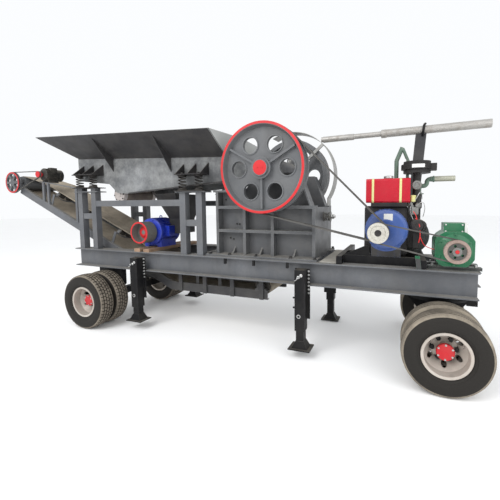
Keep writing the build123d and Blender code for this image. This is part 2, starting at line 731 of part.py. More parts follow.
def crusher_side():
    """The near side plate with its foot flange, ledges, ribs and sloping rear flange."""
    y1 = -CHAMBER_HALF
    y0 = y1 - SIDE_PLATE
    rib_y = y0 - SIDE_RIB_REACH
    bearing_left = SHAFT_X - BEARING_BLOCK / 2
    bearing_right = SHAFT_X + BEARING_BLOCK / 2
    seat_z = SHAFT_Z - BEARING_SEAT
    outline = [
        (CRUSH_FRONT_X, BASE_TOP), (CRUSH_BACK_X, BASE_TOP), (CRUSH_BACK_X, CRUSH_LEDGE),
        (SLOPE_LOW_X, CRUSH_LEDGE), (SLOPE_TOP_X, SLOPE_TOP_Z), (bearing_right, SLOPE_TOP_Z),
        (bearing_right, seat_z), (bearing_left, seat_z), (bearing_left, CRUSH_SHOULDER),
        (CHEEK_BACK_X, CRUSH_SHOULDER), (CHEEK_FRONT_X, CRUSH_TOP_FRONT), (CRUSH_FRONT_X, CRUSH_TOP_FRONT),
    ]
    side = side_profile(outline, y0, y1)
    side = side + block(CRUSH_BASE_X0, CRUSH_BASE_X1, -CRUSH_BASE_HALF - BASE_OVERHANG, y1, RAIL_TOP, BASE_TOP)
    for x in RIB_PLACES:
        top = CRUSH_LEDGE if x > 0 else CRUSH_TOP_FRONT
        side = side + block(x - SIDE_RIB / 2, x + SIDE_RIB / 2, rib_y, y0, BASE_TOP, top)
    for z in (CRUSH_MID_RIB, CRUSH_LEDGE):
        side = side + block(CRUSH_FRONT_X, CRUSH_BACK_X, rib_y, y0, z - SIDE_RIB / 2, z + SIDE_RIB / 2)
    lean = (SLOPE_LOW_X - SLOPE_TOP_X) / (SLOPE_TOP_Z - CRUSH_LEDGE)
    strip = side_profile([
        (SLOPE_LOW_X, CRUSH_LEDGE), (SLOPE_TOP_X, SLOPE_TOP_Z), (SLOPE_TOP_X - SLOPE_FLANGE, SLOPE_TOP_Z),
        (SLOPE_LOW_X - SLOPE_FLANGE + lean, CRUSH_LEDGE)], rib_y, y0)
    side = side + strip
    side = side + block(CRUSH_FRONT_X - MOUTH_LIP, CHEEK_FRONT_X, rib_y, y1, CRUSH_TOP_FRONT - LIP_THICK,
                        CRUSH_TOP_FRONT)
    for left, right in zip(RIB_PLACES[:-1], RIB_PLACES[1:]):
        x = (left + right) / 2
        heel = end_profile([(y0, BASE_TOP), (y0 - HEEL_REACH, BASE_TOP), (y0, BASE_TOP + HEEL_HEIGHT)],
                           x - HEEL_THICK / 2, x + HEEL_THICK / 2)
        side = side + heel
    return side


near_side = crusher_side()
save("crusher_sides", near_side, mirrored(near_side))

# End walls between the side plates, with the toggle beam on the rear one
front_wall = block(CRUSH_FRONT_X, CRUSH_FRONT_X + END_WALL, -CHAMBER_HALF, CHAMBER_HALF, RAIL_TOP, CRUSH_TOP_FRONT)
front_wall = front_wall + block(CRUSH_FRONT_X - MOUTH_LIP, CRUSH_FRONT_X, -CHAMBER_HALF, CHAMBER_HALF,
                                CRUSH_TOP_FRONT - LIP_THICK, CRUSH_TOP_FRONT)
back_in = CRUSH_BACK_X - END_WALL
back_wall = block(back_in, CRUSH_BACK_X, -CHAMBER_HALF, CHAMBER_HALF, RAIL_TOP, CRUSH_LEDGE)
toggle_beam = side_profile([(TOGGLE_SEAT_X, TOGGLE_SEAT_LOW), (back_in, TOGGLE_SEAT_LOW - 60),
                            (back_in, TOGGLE_SEAT_HIGH + 60), (TOGGLE_SEAT_X, TOGGLE_SEAT_HIGH)],
                           -TOGGLE_HALF, TOGGLE_HALF)
save("crusher_end_walls", front_wall, back_wall + toggle_beam)

# Jaws: a toothed plate on the front wall and one on the swing jaw, which hangs from the shaft
FIXED_FACE_TOP = CRUSH_FRONT_X + END_WALL
jaw_half = CHAMBER_HALF - JAW_SIDE_GAP
tooth_pitch = 2 * jaw_half / JAW_TEETH


def toothed_plate(x, thick, way):
    """The plan outline of a crushing plate whose teeth point along X in the given way."""
    root = x + way * (thick - JAW_TOOTH)
    tip = x + way * thick
    outline = [(x, -jaw_half), (x, jaw_half)]
    for index in range(JAW_TEETH):
        y = jaw_half - index * tooth_pitch
        outline += [(root, y), (tip, y - tooth_pitch * 0.25), (tip, y - tooth_pitch * 0.5), (root, y - tooth_pitch * 0.75)]
    return outline + [(root, -jaw_half)]


fixed_plate = plan_profile(toothed_plate(FIXED_FACE_TOP, JAW_PLATE, 1), JAW_BOTTOM, JAW_TOP)
fixed_tip_x = FIXED_FACE_TOP + JAW_PLATE
jaw_lean = atan2(GAPE - DISCHARGE, JAW_TOP - JAW_BOTTOM)
jaw_length = (JAW_TOP - JAW_BOTTOM) / cos(jaw_lean)
moving = plan_profile(toothed_plate(0, JAW_PLATE, -1), 0, jaw_length)
seat_low_x = fixed_tip_x + DISCHARGE + JAW_PLATE / cos(jaw_lean)
moving_plate = Pos(seat_low_x, 0, JAW_BOTTOM) * (Rot(0, jaw_lean * 180 / pi, 0) * moving)
save("jaw_plates", fixed_plate, moving_plate)

seat_top_x = seat_low_x + GAPE - DISCHARGE
swing_back_x = seat_low_x + PITMAN_DEPTH + PITMAN_HEEL
swing = side_profile([
    (seat_low_x, JAW_BOTTOM), (seat_top_x, JAW_TOP), (seat_top_x + JAW_STEP, JAW_TOP + JAW_SHELF),
    (SHAFT_X - PITMAN_BARREL, SHAFT_Z), (SHAFT_X + PITMAN_BARREL, SHAFT_Z), (swing_back_x + JAW_STEP, TOGGLE_SEAT_HIGH),
    (swing_back_x, TOGGLE_SEAT_LOW), (seat_low_x + PITMAN_DEPTH, JAW_BOTTOM),
], -jaw_half, jaw_half)
swing = swing + barrel(SHAFT_X, SHAFT_Z, PITMAN_BARREL, -jaw_half, jaw_half)
swing = swing - barrel(SHAFT_X, SHAFT_Z, SHAFT_RADIUS + RUN_FIT, -jaw_half - 1, jaw_half + 1)
save("swing_jaw", swing)

# Toggle plate between the swing jaw's heel and the toggle beam
toggle_z = (TOGGLE_SEAT_LOW + TOGGLE_SEAT_HIGH) / 2
heel_x = swing_back_x + JAW_STEP / 2
save("toggle_plate", block(heel_x + REST_GAP, TOGGLE_SEAT_X - REST_GAP, -TOGGLE_HALF, TOGGLE_HALF,
                           toggle_z - TOGGLE_THICK / 2, toggle_z + TOGGLE_THICK / 2)
     - side_profile([(heel_x - JAW_STEP, TOGGLE_SEAT_LOW), (swing_back_x + REST_GAP, TOGGLE_SEAT_LOW),
                     (swing_back_x + JAW_STEP + REST_GAP, TOGGLE_SEAT_HIGH), (heel_x - JAW_STEP, TOGGLE_SEAT_HIGH)],
                    -TOGGLE_HALF - 1, TOGGLE_HALF + 1))


# Tension rod behind the rear wall: rod, coil spring and washers
def rod_disc(x0, x1, radius):
    return extrude(Plane(origin=(x0, 0, ROD_Z), z_dir=(1, 0, 0)) * Circle(radius), amount=x1 - x0)


rod_tip = CRUSH_BACK_X + ROD_REACH
rod = rod_disc(CRUSH_BACK_X, rod_tip, ROD_RADIUS)
rod = rod + rod_disc(CRUSH_BACK_X, CRUSH_BACK_X + ROD_WASHER, ROD_SPRING_RADIUS + 8)
coil_pitch = ROD_SPRING / ROD_TURNS
for turn in range(ROD_TURNS):
    x = CRUSH_BACK_X + ROD_WASHER + turn * coil_pitch
    rod = rod + rod_disc(x, x + coil_pitch * 0.6, ROD_SPRING_RADIUS)
    rod = rod + rod_disc(x + coil_pitch * 0.6, x + coil_pitch, ROD_SPRING_RADIUS - ROD_WIRE)
spring_end = CRUSH_BACK_X + ROD_WASHER + ROD_SPRING
rod = rod + rod_disc(spring_end, spring_end + ROD_WASHER, ROD_SPRING_RADIUS)
rod = rod + rod_disc(spring_end + ROD_WASHER, spring_end + ROD_WASHER + ROD_NUT, ROD_RADIUS * 1.6)
save("tension_rod", rod)


# Bearing housings on the side plates
def bearing_housing():
    y0 = -CHAMBER_HALF - BEARING_DEPTH
    y1 = -CHAMBER_HALF
    half = BEARING_BLOCK / 2
    seat_z = SHAFT_Z - BEARING_SEAT
    outline = [(SHAFT_X - half, seat_z), (SHAFT_X + half, seat_z), (SHAFT_X + half, seat_z + BEARING_FOOT),
               (SHAFT_X + BEARING_RADIUS, SHAFT_Z), (SHAFT_X - BEARING_RADIUS, SHAFT_Z),
               (SHAFT_X - half, seat_z + BEARING_FOOT)]
    body = side_profile(outline, y0, y1)
    below = block(SHAFT_X - half, SHAFT_X + half, y0 - 1, y1 + 1, seat_z - BEARING_RADIUS, seat_z)
    body = body + (barrel(SHAFT_X, SHAFT_Z, BEARING_RADIUS, y0, y1) - below)
    body = body + barrel(SHAFT_X, SHAFT_Z, BEARING_COVER, y0 - BEARING_COVER_DEPTH, y0)
    return body - barrel(SHAFT_X, SHAFT_Z, SHAFT_RADIUS + RUN_FIT, y0 - BEARING_COVER_DEPTH - 1, y1 + 1)


near_bearing = bearing_housing()
save("bearing_housings", near_bearing, mirrored(near_bearing))

# Eccentric shaft with its end caps outside the flywheels
cap_y0 = -FLYWHEEL_OUTER_FACE - SHAFT_CAP_DEPTH
shaft_cap = barrel(SHAFT_X, SHAFT_Z, SHAFT_CAP_RADIUS, cap_y0, cap_y0 + SHAFT_CAP_DEPTH)
save("eccentric_shaft", barrel(SHAFT_X, SHAFT_Z, SHAFT_RADIUS, cap_y0 + 1, -cap_y0 - 1)
     + shaft_cap + mirrored(shaft_cap))


def groove(radius, y):
    """The outline of one V-groove in a rim, in order of growing y."""
    half = GROOVE_WIDTH / 2
    floor = half - GROOVE_FLANK * GROOVE_DEPTH
    return [(radius, y - half), (radius - GROOVE_DEPTH, y - floor), (radius - GROOVE_DEPTH, y + floor), (radius, y + half)]


def flywheel(grooved):
    """A ribbed-web flywheel on the near side; the grooved one also takes the V-belts."""
    y0 = -FLYWHEEL_OUTER_FACE
    y1 = y0 + FLYWHEEL_WIDTH
    web_out = (y0 + y1) / 2 - WEB_SETBACK - FLYWHEEL_WEB / 2
    web_in = web_out + FLYWHEEL_WEB
    rim_in = FLYWHEEL_RADIUS - FLYWHEEL_RIM
    hub_face = y0 + HUB_SETBACK
    outline = [(FLYWHEEL_RADIUS, y0), (rim_in + RIM_BEVEL, y0), (rim_in, web_out), (FLYWHEEL_HUB_RADIUS, web_out),
               (FLYWHEEL_HUB_RADIUS, hub_face), (SHAFT_RADIUS, hub_face), (SHAFT_RADIUS, y1),
               (FLYWHEEL_HUB_RADIUS, y1), (FLYWHEEL_HUB_RADIUS, web_in), (rim_in, web_in), (rim_in, y1),
               (FLYWHEEL_RADIUS, y1)]
    if grooved:
        for y in reversed(BELT_PLANES[1:]):
            outline += reversed(groove(FLYWHEEL_RADIUS, y))
    wheel = turned(SHAFT_X, SHAFT_Z, outline)
    for index in range(FLYWHEEL_HOLES):
        angle = 2 * pi * index / FLYWHEEL_HOLES
        x = SHAFT_X + FLYWHEEL_HOLE_CIRCLE * cos(angle)
        z = SHAFT_Z + FLYWHEEL_HOLE_CIRCLE * sin(angle)
        wheel = wheel + barrel(x, z, FLYWHEEL_HOLE_RADIUS + HOLE_COLLAR, web_out - HOLE_COLLAR_PROUD, web_out)
        wheel = wheel - barrel(x, z, FLYWHEEL_HOLE_RADIUS, y0 - 1, y1 + 1)
    for index in range(FLYWHEEL_RIBS):
        rib = block(FLYWHEEL_HUB_RADIUS - 2, rim_in + 2, web_out - WHEEL_RIB_PROUD, web_out + 2, -WHEEL_RIB / 2,
                    WHEEL_RIB / 2)
        wheel = wheel + Pos(SHAFT_X, 0, SHAFT_Z) * (Rot(0, 90 - 360 * index / FLYWHEEL_RIBS, 0) * rib)
    return wheel


save("flywheels", flywheel(True), mirrored(flywheel(False)))

# Guard sheet bent round the far flywheel, on two brackets from the side plate
guard_y0 = FLYWHEEL_OUTER_FACE - FLYWHEEL_WIDTH - 14
guard_y1 = FLYWHEEL_OUTER_FACE + 14
guard = barrel(SHAFT_X, SHAFT_Z, GUARD_RADIUS, guard_y0, guard_y1) - barrel(
    SHAFT_X, SHAFT_Z, GUARD_RADIUS - GUARD_SHEET, guard_y0 - 1, guard_y1 + 1
)
reach = 2 * GUARD_RADIUS
sector = [(SHAFT_X, SHAFT_Z)]
steps = 6
for index in range(steps + 1):
    angle = radians(GUARD_FROM + (GUARD_TO - GUARD_FROM) * index / steps)
    sector.append((SHAFT_X + reach * cos(angle), SHAFT_Z + reach * sin(angle)))
guard = guard & side_profile(sector, guard_y0, guard_y1)
guard_foot_x = SHAFT_X + GUARD_RADIUS * cos(radians(GUARD_FROM))
guard_foot_z = SHAFT_Z + GUARD_RADIUS * sin(radians(GUARD_FROM))
ledge_y = CHAMBER_HALF + SIDE_PLATE + SIDE_RIB_REACH
guard = guard + block(guard_foot_x - GUARD_SHEET, guard_foot_x, ledge_y + REST_GAP, guard_y1, CRUSH_LEDGE + SIDE_RIB / 2,
                      guard_foot_z + 6)
for angle in GUARD_STAYS:
    bar = block(BEARING_RADIUS + REST_GAP, GUARD_RADIUS - 2, guard_y0 - 30, guard_y0 + 8, -20, 20)
    guard = guard + Pos(SHAFT_X, 0, SHAFT_Z) * (Rot(0, -angle, 0) * bar)
save("flywheel_guard", guard)


# Feeder stand: two bents of twin posts on each rail
def bent(places, top, rung):
    half = POST_SIDE / 2
    y0 = -POST_OUTER_Y
    y1 = y0 + POST_SIDE
    left, right = places
    frame = block(left - half, left + half, y0, y1, RAIL_TOP, top)
    frame = frame + block(right - half, right + half, y0, y1, RAIL_TOP, top)
    frame = frame + block(left + half, right - half, y0 + 10, y1 - 10, rung, rung + RUNG_HEIGHT)
    frame = frame + block(left - half - CAP_REACH, right + half + CAP_REACH, y0 - 20, y1 + 60, top, top + CAP_PLATE)
    return frame


rear_bent = bent(REAR_BENT, REAR_POST_TOP, REAR_RUNG)
front_bent = bent(FRONT_BENT, FRONT_POST_TOP, FRONT_RUNG)
save("feeder_bents", rear_bent, front_bent, mirrored(rear_bent), mirrored(front_bent))
beam_x0 = REAR_BENT[1] + POST_SIDE / 2
beam_x1 = FRONT_BENT[0] - POST_SIDE / 2
stand_beam = block(beam_x0, beam_x1, -POST_OUTER_Y + 5, -POST_OUTER_Y + POST_SIDE - 5,
                   STAND_BEAM_BOTTOM, STAND_BEAM_BOTTOM + STAND_BEAM_HEIGHT)
save("feeder_beams", stand_beam, mirrored(stand_beam))


# Feeder trough: side sheets, sloping floor and back sheet
def trough_top(x):
    return TROUGH_TOP_BACK - TROUGH_SLOPE * (x - TROUGH_BACK_X)


def floor_z(x):
    return FLOOR_BACK_Z + (FLOOR_FRONT_Z - FLOOR_BACK_Z) * (x - TROUGH_BACK_X) / (TROUGH_FRONT_X - TROUGH_BACK_X)


side_outline = [
    (TROUGH_BACK_X, trough_top(TROUGH_BACK_X)), (TROUGH_FRONT_X, trough_top(TROUGH_FRONT_X)),
    (TROUGH_FRONT_X, 2222), (-1900, 2092), (-2180, 2112), (-2350, 2260), (TROUGH_BACK_X, 2330),
]
trough_side = side_profile(side_outline, -TROUGH_HALF, -TROUGH_HALF + TROUGH_SHEET)
floor = side_profile(
    [(TROUGH_BACK_X, floor_z(TROUGH_BACK_X)), (TROUGH_FRONT_X, floor_z(TROUGH_FRONT_X)),
     (TROUGH_FRONT_X, floor_z(TROUGH_FRONT_X) - FLOOR_SHEET), (TROUGH_BACK_X, floor_z(TROUGH_BACK_X) - FLOOR_SHEET)],
    -TROUGH_HALF + TROUGH_SHEET, TROUGH_HALF - TROUGH_SHEET,
)
back_sheet = block(TROUGH_BACK_X, TROUGH_BACK_X + TROUGH_SHEET, -TROUGH_HALF + TROUGH_SHEET,
                   TROUGH_HALF - TROUGH_SHEET, floor_z(TROUGH_BACK_X) - FLOOR_SHEET, trough_top(TROUGH_BACK_X) - 1)
save("feeder_trough", trough_side + floor + back_sheet + mirrored(trough_side))

# Hopper: three flared sheets over the trough and an upright end wall
flare_x1 = TROUGH_FRONT_X + 50
top_y = TROUGH_HALF + FLARE_OUT


def flare_top(x):
    return FLARE_TOP_BACK - TROUGH_SLOPE * (x - (TROUGH_BACK_X - FLARE_BACK))


def flare_under(x, y):
    """Height of the near flare's lower face at x, y out from the middle."""
    share = (y - TROUGH_HALF) / FLARE_OUT
    return trough_top(x) + share * (flare_top(x) - trough_top(x)) - FLARE_SHEET


flare_near = panel(
    [(TROUGH_BACK_X - FLARE_BACK, -top_y, flare_top(TROUGH_BACK_X - FLARE_BACK)),
     (flare_x1, -top_y, flare_top(flare_x1)), (flare_x1, -TROUGH_HALF, trough_top(flare_x1)),
     (TROUGH_BACK_X, -TROUGH_HALF, trough_top(TROUGH_BACK_X))], FLARE_SHEET, (0, -1, -1))
flare_back = panel(
    [(TROUGH_BACK_X - FLARE_BACK, -top_y, flare_top(TROUGH_BACK_X - FLARE_BACK)),
     (TROUGH_BACK_X - FLARE_BACK, top_y, flare_top(TROUGH_BACK_X - FLARE_BACK)),
     (TROUGH_BACK_X, TROUGH_HALF, trough_top(TROUGH_BACK_X)),
     (TROUGH_BACK_X, -TROUGH_HALF, trough_top(TROUGH_BACK_X))], FLARE_SHEET, (-1, 0, -1))
end_wall = end_profile(
    [(-TROUGH_HALF, trough_top(flare_x1)), (-top_y, flare_top(flare_x1)), (0, flare_top(flare_x1) + END_WALL_GABLE),
     (top_y, flare_top(flare_x1)), (TROUGH_HALF, trough_top(flare_x1))], flare_x1, flare_x1 + FLARE_SHEET)


def flare_gusset(x):
    """A triangular web from the flare's outer edge down to the trough side."""
    y0 = -TROUGH_HALF
    return end_profile([(y0, trough_top(x)), (y0, trough_top(x) - GUSSET_DROP),
                        (-top_y + GUSSET_SETBACK, flare_under(x, top_y - GUSSET_SETBACK))],
                       x - GUSSET_SHEET / 2, x + GUSSET_SHEET / 2)


gussets = [flare_gusset(x) for x in GUSSET_PLACES]
for web in gussets:
    flare_near = flare_near + web
save("hopper_sheets", flare_near, mirrored(flare_near), flare_back, end_wall)


# Springs between the stand and the brackets on the trough sides
def spring_stack(x, z0, z1):
    y = -TROUGH_HALF - 70
    turns = SPRING_TURNS
    pitch = (z1 - z0) / turns
    outline = [(0, z0)]
    for index in range(turns):
        base = z0 + index * pitch
        outline += [(SPRING_RADIUS - SPRING_WIRE, base), (SPRING_RADIUS, base + pitch * 0.3),
                    (SPRING_RADIUS, base + pitch * 0.5), (SPRING_RADIUS - SPRING_WIRE, base + pitch * 0.8)]
    outline += [(SPRING_RADIUS - SPRING_WIRE, z1), (0, z1)]
    face = Face(Wire.make_polygon([(r, 0, z) for r, z in outline], close=True))
    return Pos(x, y, 0) * revolve(face, axis=Axis.Z)


def spring_bracket(x0, x1, z):
    """A shelf with triangular gussets welded to the trough side."""
    y1 = -TROUGH_HALF
    y0 = y1 - 130
    shelf = block(x0, x1, y0, y1, z, z + 14)
    count = 3
    for index in range(count):
        x = x0 + 8 + (x1 - x0 - 16) * index / (count - 1)
        gusset = end_profile([(y1, z + 14), (y0 + 10, z + 14), (y1, z + 150)], x - 6, x + 6)
        shelf = shelf + gusset
    return shelf


springs = []
brackets = []
for places, top, spring in ((REAR_BENT, REAR_POST_TOP, REAR_SPRING), (FRONT_BENT, FRONT_POST_TOP, FRONT_SPRING)):
    seat = top + CAP_PLATE
    shelf_z = seat + spring
    for x in places:
        springs.append(spring_stack(x, seat + REST_GAP, shelf_z - REST_GAP))
    brackets.append(spring_bracket(places[0] - 80, places[1] + 80, shelf_z))
save("feeder_springs", *springs, *[mirrored(item) for item in springs])
save("feeder_brackets", *brackets, *[mirrored(item) for item in brackets])

# Vibrator under the trough
exciter = barrel(EXCITER_X, EXCITER_Z, EXCITER_RADIUS, -EXCITER_HALF, EXCITER_HALF)
arm_top = floor_z(EXCITER_X) - FLOOR_SHEET
arm = side_profile([(EXCITER_X - 90, EXCITER_Z), (EXCITER_X + 90, EXCITER_Z),
                    (EXCITER_X + 150, floor_z(EXCITER_X + 150) - FLOOR_SHEET),
                    (EXCITER_X - 150, floor_z(EXCITER_X - 150) - FLOOR_SHEET)], -200, 200)
save("feeder_exciter", exciter + arm)

# Fines chute under the feeder, open at both ends
chute_top = 2080.0
chute_low = 1320.0


def chute_loft(inset):
    return loft([
        Plane(origin=(-1000, 0, chute_low - (1 if inset else 0))) * Rectangle(360 - 2 * inset, 420 - 2 * inset),
        Plane(origin=(-1140, 0, chute_top + (1 if inset else 0))) * Rectangle(640 - 2 * inset, 780 - 2 * inset),
    ])


chute = chute_loft(0) - chute_loft(6)
ear_z = STAND_BEAM_BOTTOM + 40
ear_out = POST_OUTER_Y - POST_SIDE + 5
ear = block(-1180, -1060, -ear_out, -340, ear_z, ear_z + 12) - chute_loft(3)
ears = [piece for piece in ear.solids() if piece.bounding_box().min.Y < -ear_out + 1]
save("fines_chute", chute + ears[0] + mirrored(ears[0]))

# Conveyor frame: two bent channels
slope = radians(CONV_SLOPE)
along = (-cos(slope), sin(slope))
across = (sin(slope), cos(slope))


def conv_point(u, v):
    """A point u along the incline from the bend and v above the channels' lower edge."""
    return (CONV_BEND_X + u * along[0] + v * across[0], CONV_FLAT_BOTTOM + u * along[1] + v * across[1])


head_u = (CONV_BEND_X - CONV_HEAD_X) / cos(slope) - 60
miter = tan(slope / 2)


def conveyor_channel():
    y0 = -CONV_HALF
    lower = [(CONV_TAIL_X, CONV_FLAT_BOTTOM), (CONV_BEND_X, CONV_FLAT_BOTTOM), conv_point(head_u, 0)]
    top = CONV_CHANNEL
    upper = [conv_point(head_u, top), (CONV_BEND_X + top * miter, CONV_FLAT_BOTTOM + top),
             (CONV_TAIL_X, CONV_FLAT_BOTTOM + top)]
    web = side_profile(lower + upper, y0, y0 + CONV_SHEET)
    low_in = [conv_point(head_u, CONV_SHEET), (CONV_BEND_X + CONV_SHEET * miter, CONV_FLAT_BOTTOM + CONV_SHEET),
              (CONV_TAIL_X, CONV_FLAT_BOTTOM + CONV_SHEET)]
    high = top - CONV_SHEET
    high_in = [(CONV_TAIL_X, CONV_FLAT_BOTTOM + high), (CONV_BEND_X + high * miter, CONV_FLAT_BOTTOM + high),
               conv_point(head_u, high)]
    low_flange = side_profile(lower + low_in, y0, y0 + CONV_LEG)
    top_flange = side_profile(high_in + upper, y0, y0 + CONV_LEG)
    return web + low_flange + top_flange


near_channel = conveyor_channel()
save("conveyor_channels", near_channel, mirrored(near_channel))


def incline_plane(u, v):
    """A section plane square to the incline: its x runs across the plant, its y away from the channels."""
    x, z = conv_point(u, v)
    return Plane(origin=(x, 0, z), x_dir=(0, 1, 0), z_dir=(-along[0], 0, -along[1]))


def flat_plane(x, v):
    """The same plane in the level part of the conveyor."""
    return Plane(origin=(x, 0, CONV_FLAT_BOTTOM + v), x_dir=(0, 1, 0), z_dir=(1, 0, 0))


def tie(plane):
    """A flat cross tie lying on the channels' lower flanges."""
    half = CONV_HALF - CONV_SHEET
    outline = Polygon((-half, 0), (half, 0), (half, TIE_THICK), (-half, TIE_THICK), align=None)
    return extrude(plane * outline, amount=TIE_WIDTH)


hangers = [block(x, x + HANGER_BAR, -RAIL_INNER_Y, -CONV_HALF, CONV_FLAT_BOTTOM, RAIL_BOTTOM + HANGER_BAR)
           for x in HANGER_PLACES]
hangers += [mirrored(item) for item in hangers]
ties = [tie(incline_plane(u, CONV_SHEET)) for u in TIE_PLACES]
ties += [tie(flat_plane(x, CONV_SHEET)) for x in FLAT_TIE_PLACES]

# Conveyor belt: one fixed loop over the two drums, its carrying run raised at both edges
tail_x = CONV_TAIL_X - TAIL_SETBACK
tail_z = CONV_FLAT_BOTTOM + CONV_CHANNEL + TAIL_LIFT
belt_half = BELT_WIDTH / 2
head_v = (CONV_HEAD_X - CONV_BEND_X) * across[0] + (CONV_HEAD_Z - CONV_FLAT_BOTTOM) * across[1]
head_along = (CONV_HEAD_X - CONV_BEND_X) * along[0] + (CONV_HEAD_Z - CONV_FLAT_BOTTOM) * along[1]
r_head = DRUM_RADIUS + REST_GAP
r_tail = TAIL_DRUM_RADIUS + REST_GAP
carry_v = head_v + r_head
carry_z = tail_z + r_tail
bend_u = (carry_z - CONV_FLAT_BOTTOM - carry_v * across[1]) / along[1]
bend_x, bend_z = conv_point(bend_u, carry_v)


def carry_section(plane, rise):
    """The belt's section on its carrying run: a level floor and two raised edges."""
    inner = [(-belt_half, rise), (-BELT_FLOOR_HALF, 0), (BELT_FLOOR_HALF, 0), (belt_half, rise)]
    outer = [(y, v + BELT_THICK) for y, v in reversed(inner)]
    return plane * Polygon(*(inner + outer), align=None)


def drum_wrap(x, z, radius):
    body = barrel(x, z, radius + BELT_THICK, -belt_half, belt_half)
    return body - barrel(x, z, radius, -belt_half - 1, belt_half + 1)


bend_plane = Plane(origin=(bend_x, 0, bend_z), x_dir=(0, 1, 0), z_dir=(cos(slope / 2), 0, -sin(slope / 2)))
carry_run = loft([
    carry_section(incline_plane(head_along, carry_v), 0), carry_section(incline_plane(head_along - BELT_RUN_IN, carry_v),
                                                                       BELT_RISE),
    carry_section(incline_plane(HIGH_RISE_START, carry_v), BELT_RISE),
    carry_section(incline_plane(LOW_RISE_END, carry_v), LOW_RISE),
    carry_section(bend_plane, LOW_RISE / cos(slope / 2)),
    carry_section(flat_plane(tail_x - BELT_RUN_IN, carry_z - CONV_FLAT_BOTTOM), LOW_RISE),
    carry_section(flat_plane(tail_x, carry_z - CONV_FLAT_BOTTOM), 0),
], ruled=True)
return_v = head_v - r_head
return_z = tail_z - r_tail
low_u = (return_z - CONV_FLAT_BOTTOM - return_v * across[1]) / along[1]
return_run = side_profile([
    conv_point(head_along, return_v), conv_point(low_u, return_v), (tail_x, return_z), (tail_x, return_z - BELT_THICK),
    (conv_point(low_u, return_v)[0] - BELT_THICK * miter, return_z - BELT_THICK),
    conv_point(head_along, return_v - BELT_THICK),
], -belt_half, belt_half)
head_wrap = drum_wrap(CONV_HEAD_X, CONV_HEAD_Z, r_head) & side_profile([
    conv_point(head_along, head_v - 2 * r_head), conv_point(head_along, head_v + 2 * r_head),
    conv_point(head_along + 2 * r_head, head_v + 2 * r_head), conv_point(head_along + 2 * r_head, head_v - 2 * r_head),
], -belt_half, belt_half)
tail_wrap = drum_wrap(tail_x, tail_z, r_tail) & block(tail_x, tail_x + 2 * r_tail, -belt_half, belt_half,
                                                      tail_z - 2 * r_tail, tail_z + 2 * r_tail)
save("conveyor_belt", carry_run + return_run + head_wrap + tail_wrap)

# Head drum with its spoked sheave, and the tail drum
drum_half = DRUM_LENGTH / 2
head_drum = barrel(CONV_HEAD_X, CONV_HEAD_Z, DRUM_RADIUS, -drum_half, drum_half)
sheave_y0 = HEAD_SHEAVE_Y - HEAD_SHEAVE_WIDTH / 2
sheave_y1 = HEAD_SHEAVE_Y + HEAD_SHEAVE_WIDTH / 2
head_shaft = barrel(CONV_HEAD_X, CONV_HEAD_Z, SHAFT_END_RADIUS, sheave_y0, CONV_HALF + SHAFT_END_RADIUS)
sheave = turned(CONV_HEAD_X, CONV_HEAD_Z, [(SHAFT_END_RADIUS, sheave_y0), (HEAD_SHEAVE_RADIUS, sheave_y0)]
                + groove(HEAD_SHEAVE_RADIUS, HEAD_SHEAVE_Y)
                + [(HEAD_SHEAVE_RADIUS, sheave_y1), (SHAFT_END_RADIUS, sheave_y1)])


def spoke_window(x, z, inner, outer, angle, spread, y0, y1):
    """An opening between two spokes."""
    corners = []
    for radius, share in ((inner, -spread * 0.6), (outer, -spread), (outer + 4, 0), (outer, spread), (inner, spread * 0.6)):
        corners.append((x + radius * cos(angle + share), z + radius * sin(angle + share)))
    return side_profile(corners, y0, y1)


for index in range(SHEAVE_SPOKES):
    sheave = sheave - spoke_window(CONV_HEAD_X, CONV_HEAD_Z, SHEAVE_HUB + 14, HEAD_SHEAVE_RADIUS - SHEAVE_RIM,
                                   2 * pi * (index + 0.5) / SHEAVE_SPOKES, pi / SHEAVE_SPOKES * 0.76, sheave_y0 - 1,
                                   sheave_y1 + 1)
save("conveyor_head_drum", head_drum + head_shaft + sheave)
tail_drum = barrel(tail_x, tail_z, TAIL_DRUM_RADIUS, -drum_half, drum_half)
tail_drum = tail_drum + barrel(tail_x, tail_z, SHAFT_END_RADIUS, -CONV_HALF + CONV_SHEET, CONV_HALF - CONV_SHEET)


# Bearing blocks of both drums on the channels
def drum_bearing(x, z, seat, below):
    """A bearing block on the channel; below is the outline of the channel under it."""
    y0 = -CONV_HALF
    y1 = y0 + CONV_LEG
    body = barrel(x, z, BEARING_BOSS, y0, y1) - side_profile(below, y0 - 1, y1 + 1)
    return (body + side_profile(seat, y0, y1)) - barrel(x, z, SHAFT_END_RADIUS + RUN_FIT, y0 - 1, y1 + 1)


def bearing_outlines(point):
    """Seat and channel outlines of a drum bearing; point(shift, height) gives places along the channel."""
    base = [point(-BEARING_SHOE, CONV_CHANNEL), point(BEARING_SHOE, CONV_CHANNEL)]
    return (base + [point(BEARING_SHOE, CONV_CHANNEL + SHOE_THICK), point(-BEARING_SHOE, CONV_CHANNEL + SHOE_THICK)],
            base + [point(BEARING_SHOE, 0), point(-BEARING_SHOE, 0)])


head_bearing = drum_bearing(CONV_HEAD_X, CONV_HEAD_Z, *bearing_outlines(lambda a, v: conv_point(head_along + a, v)))
tail_bearing = drum_bearing(tail_x, tail_z, *bearing_outlines(lambda a, v: (tail_x + a, CONV_FLAT_BOTTOM + v)))


# Idler sets: one level and two raised rollers on a curved hoop between the channels
def wing_point(rise, distance, depth):
    """A point under the near raised part of the belt: along its slope from the fold and below its face."""
    lean = atan2(rise, belt_half - BELT_FLOOR_HALF)
    return (BELT_FLOOR_HALF + distance * cos(lean) + depth * sin(lean), distance * sin(lean) - depth * cos(lean))


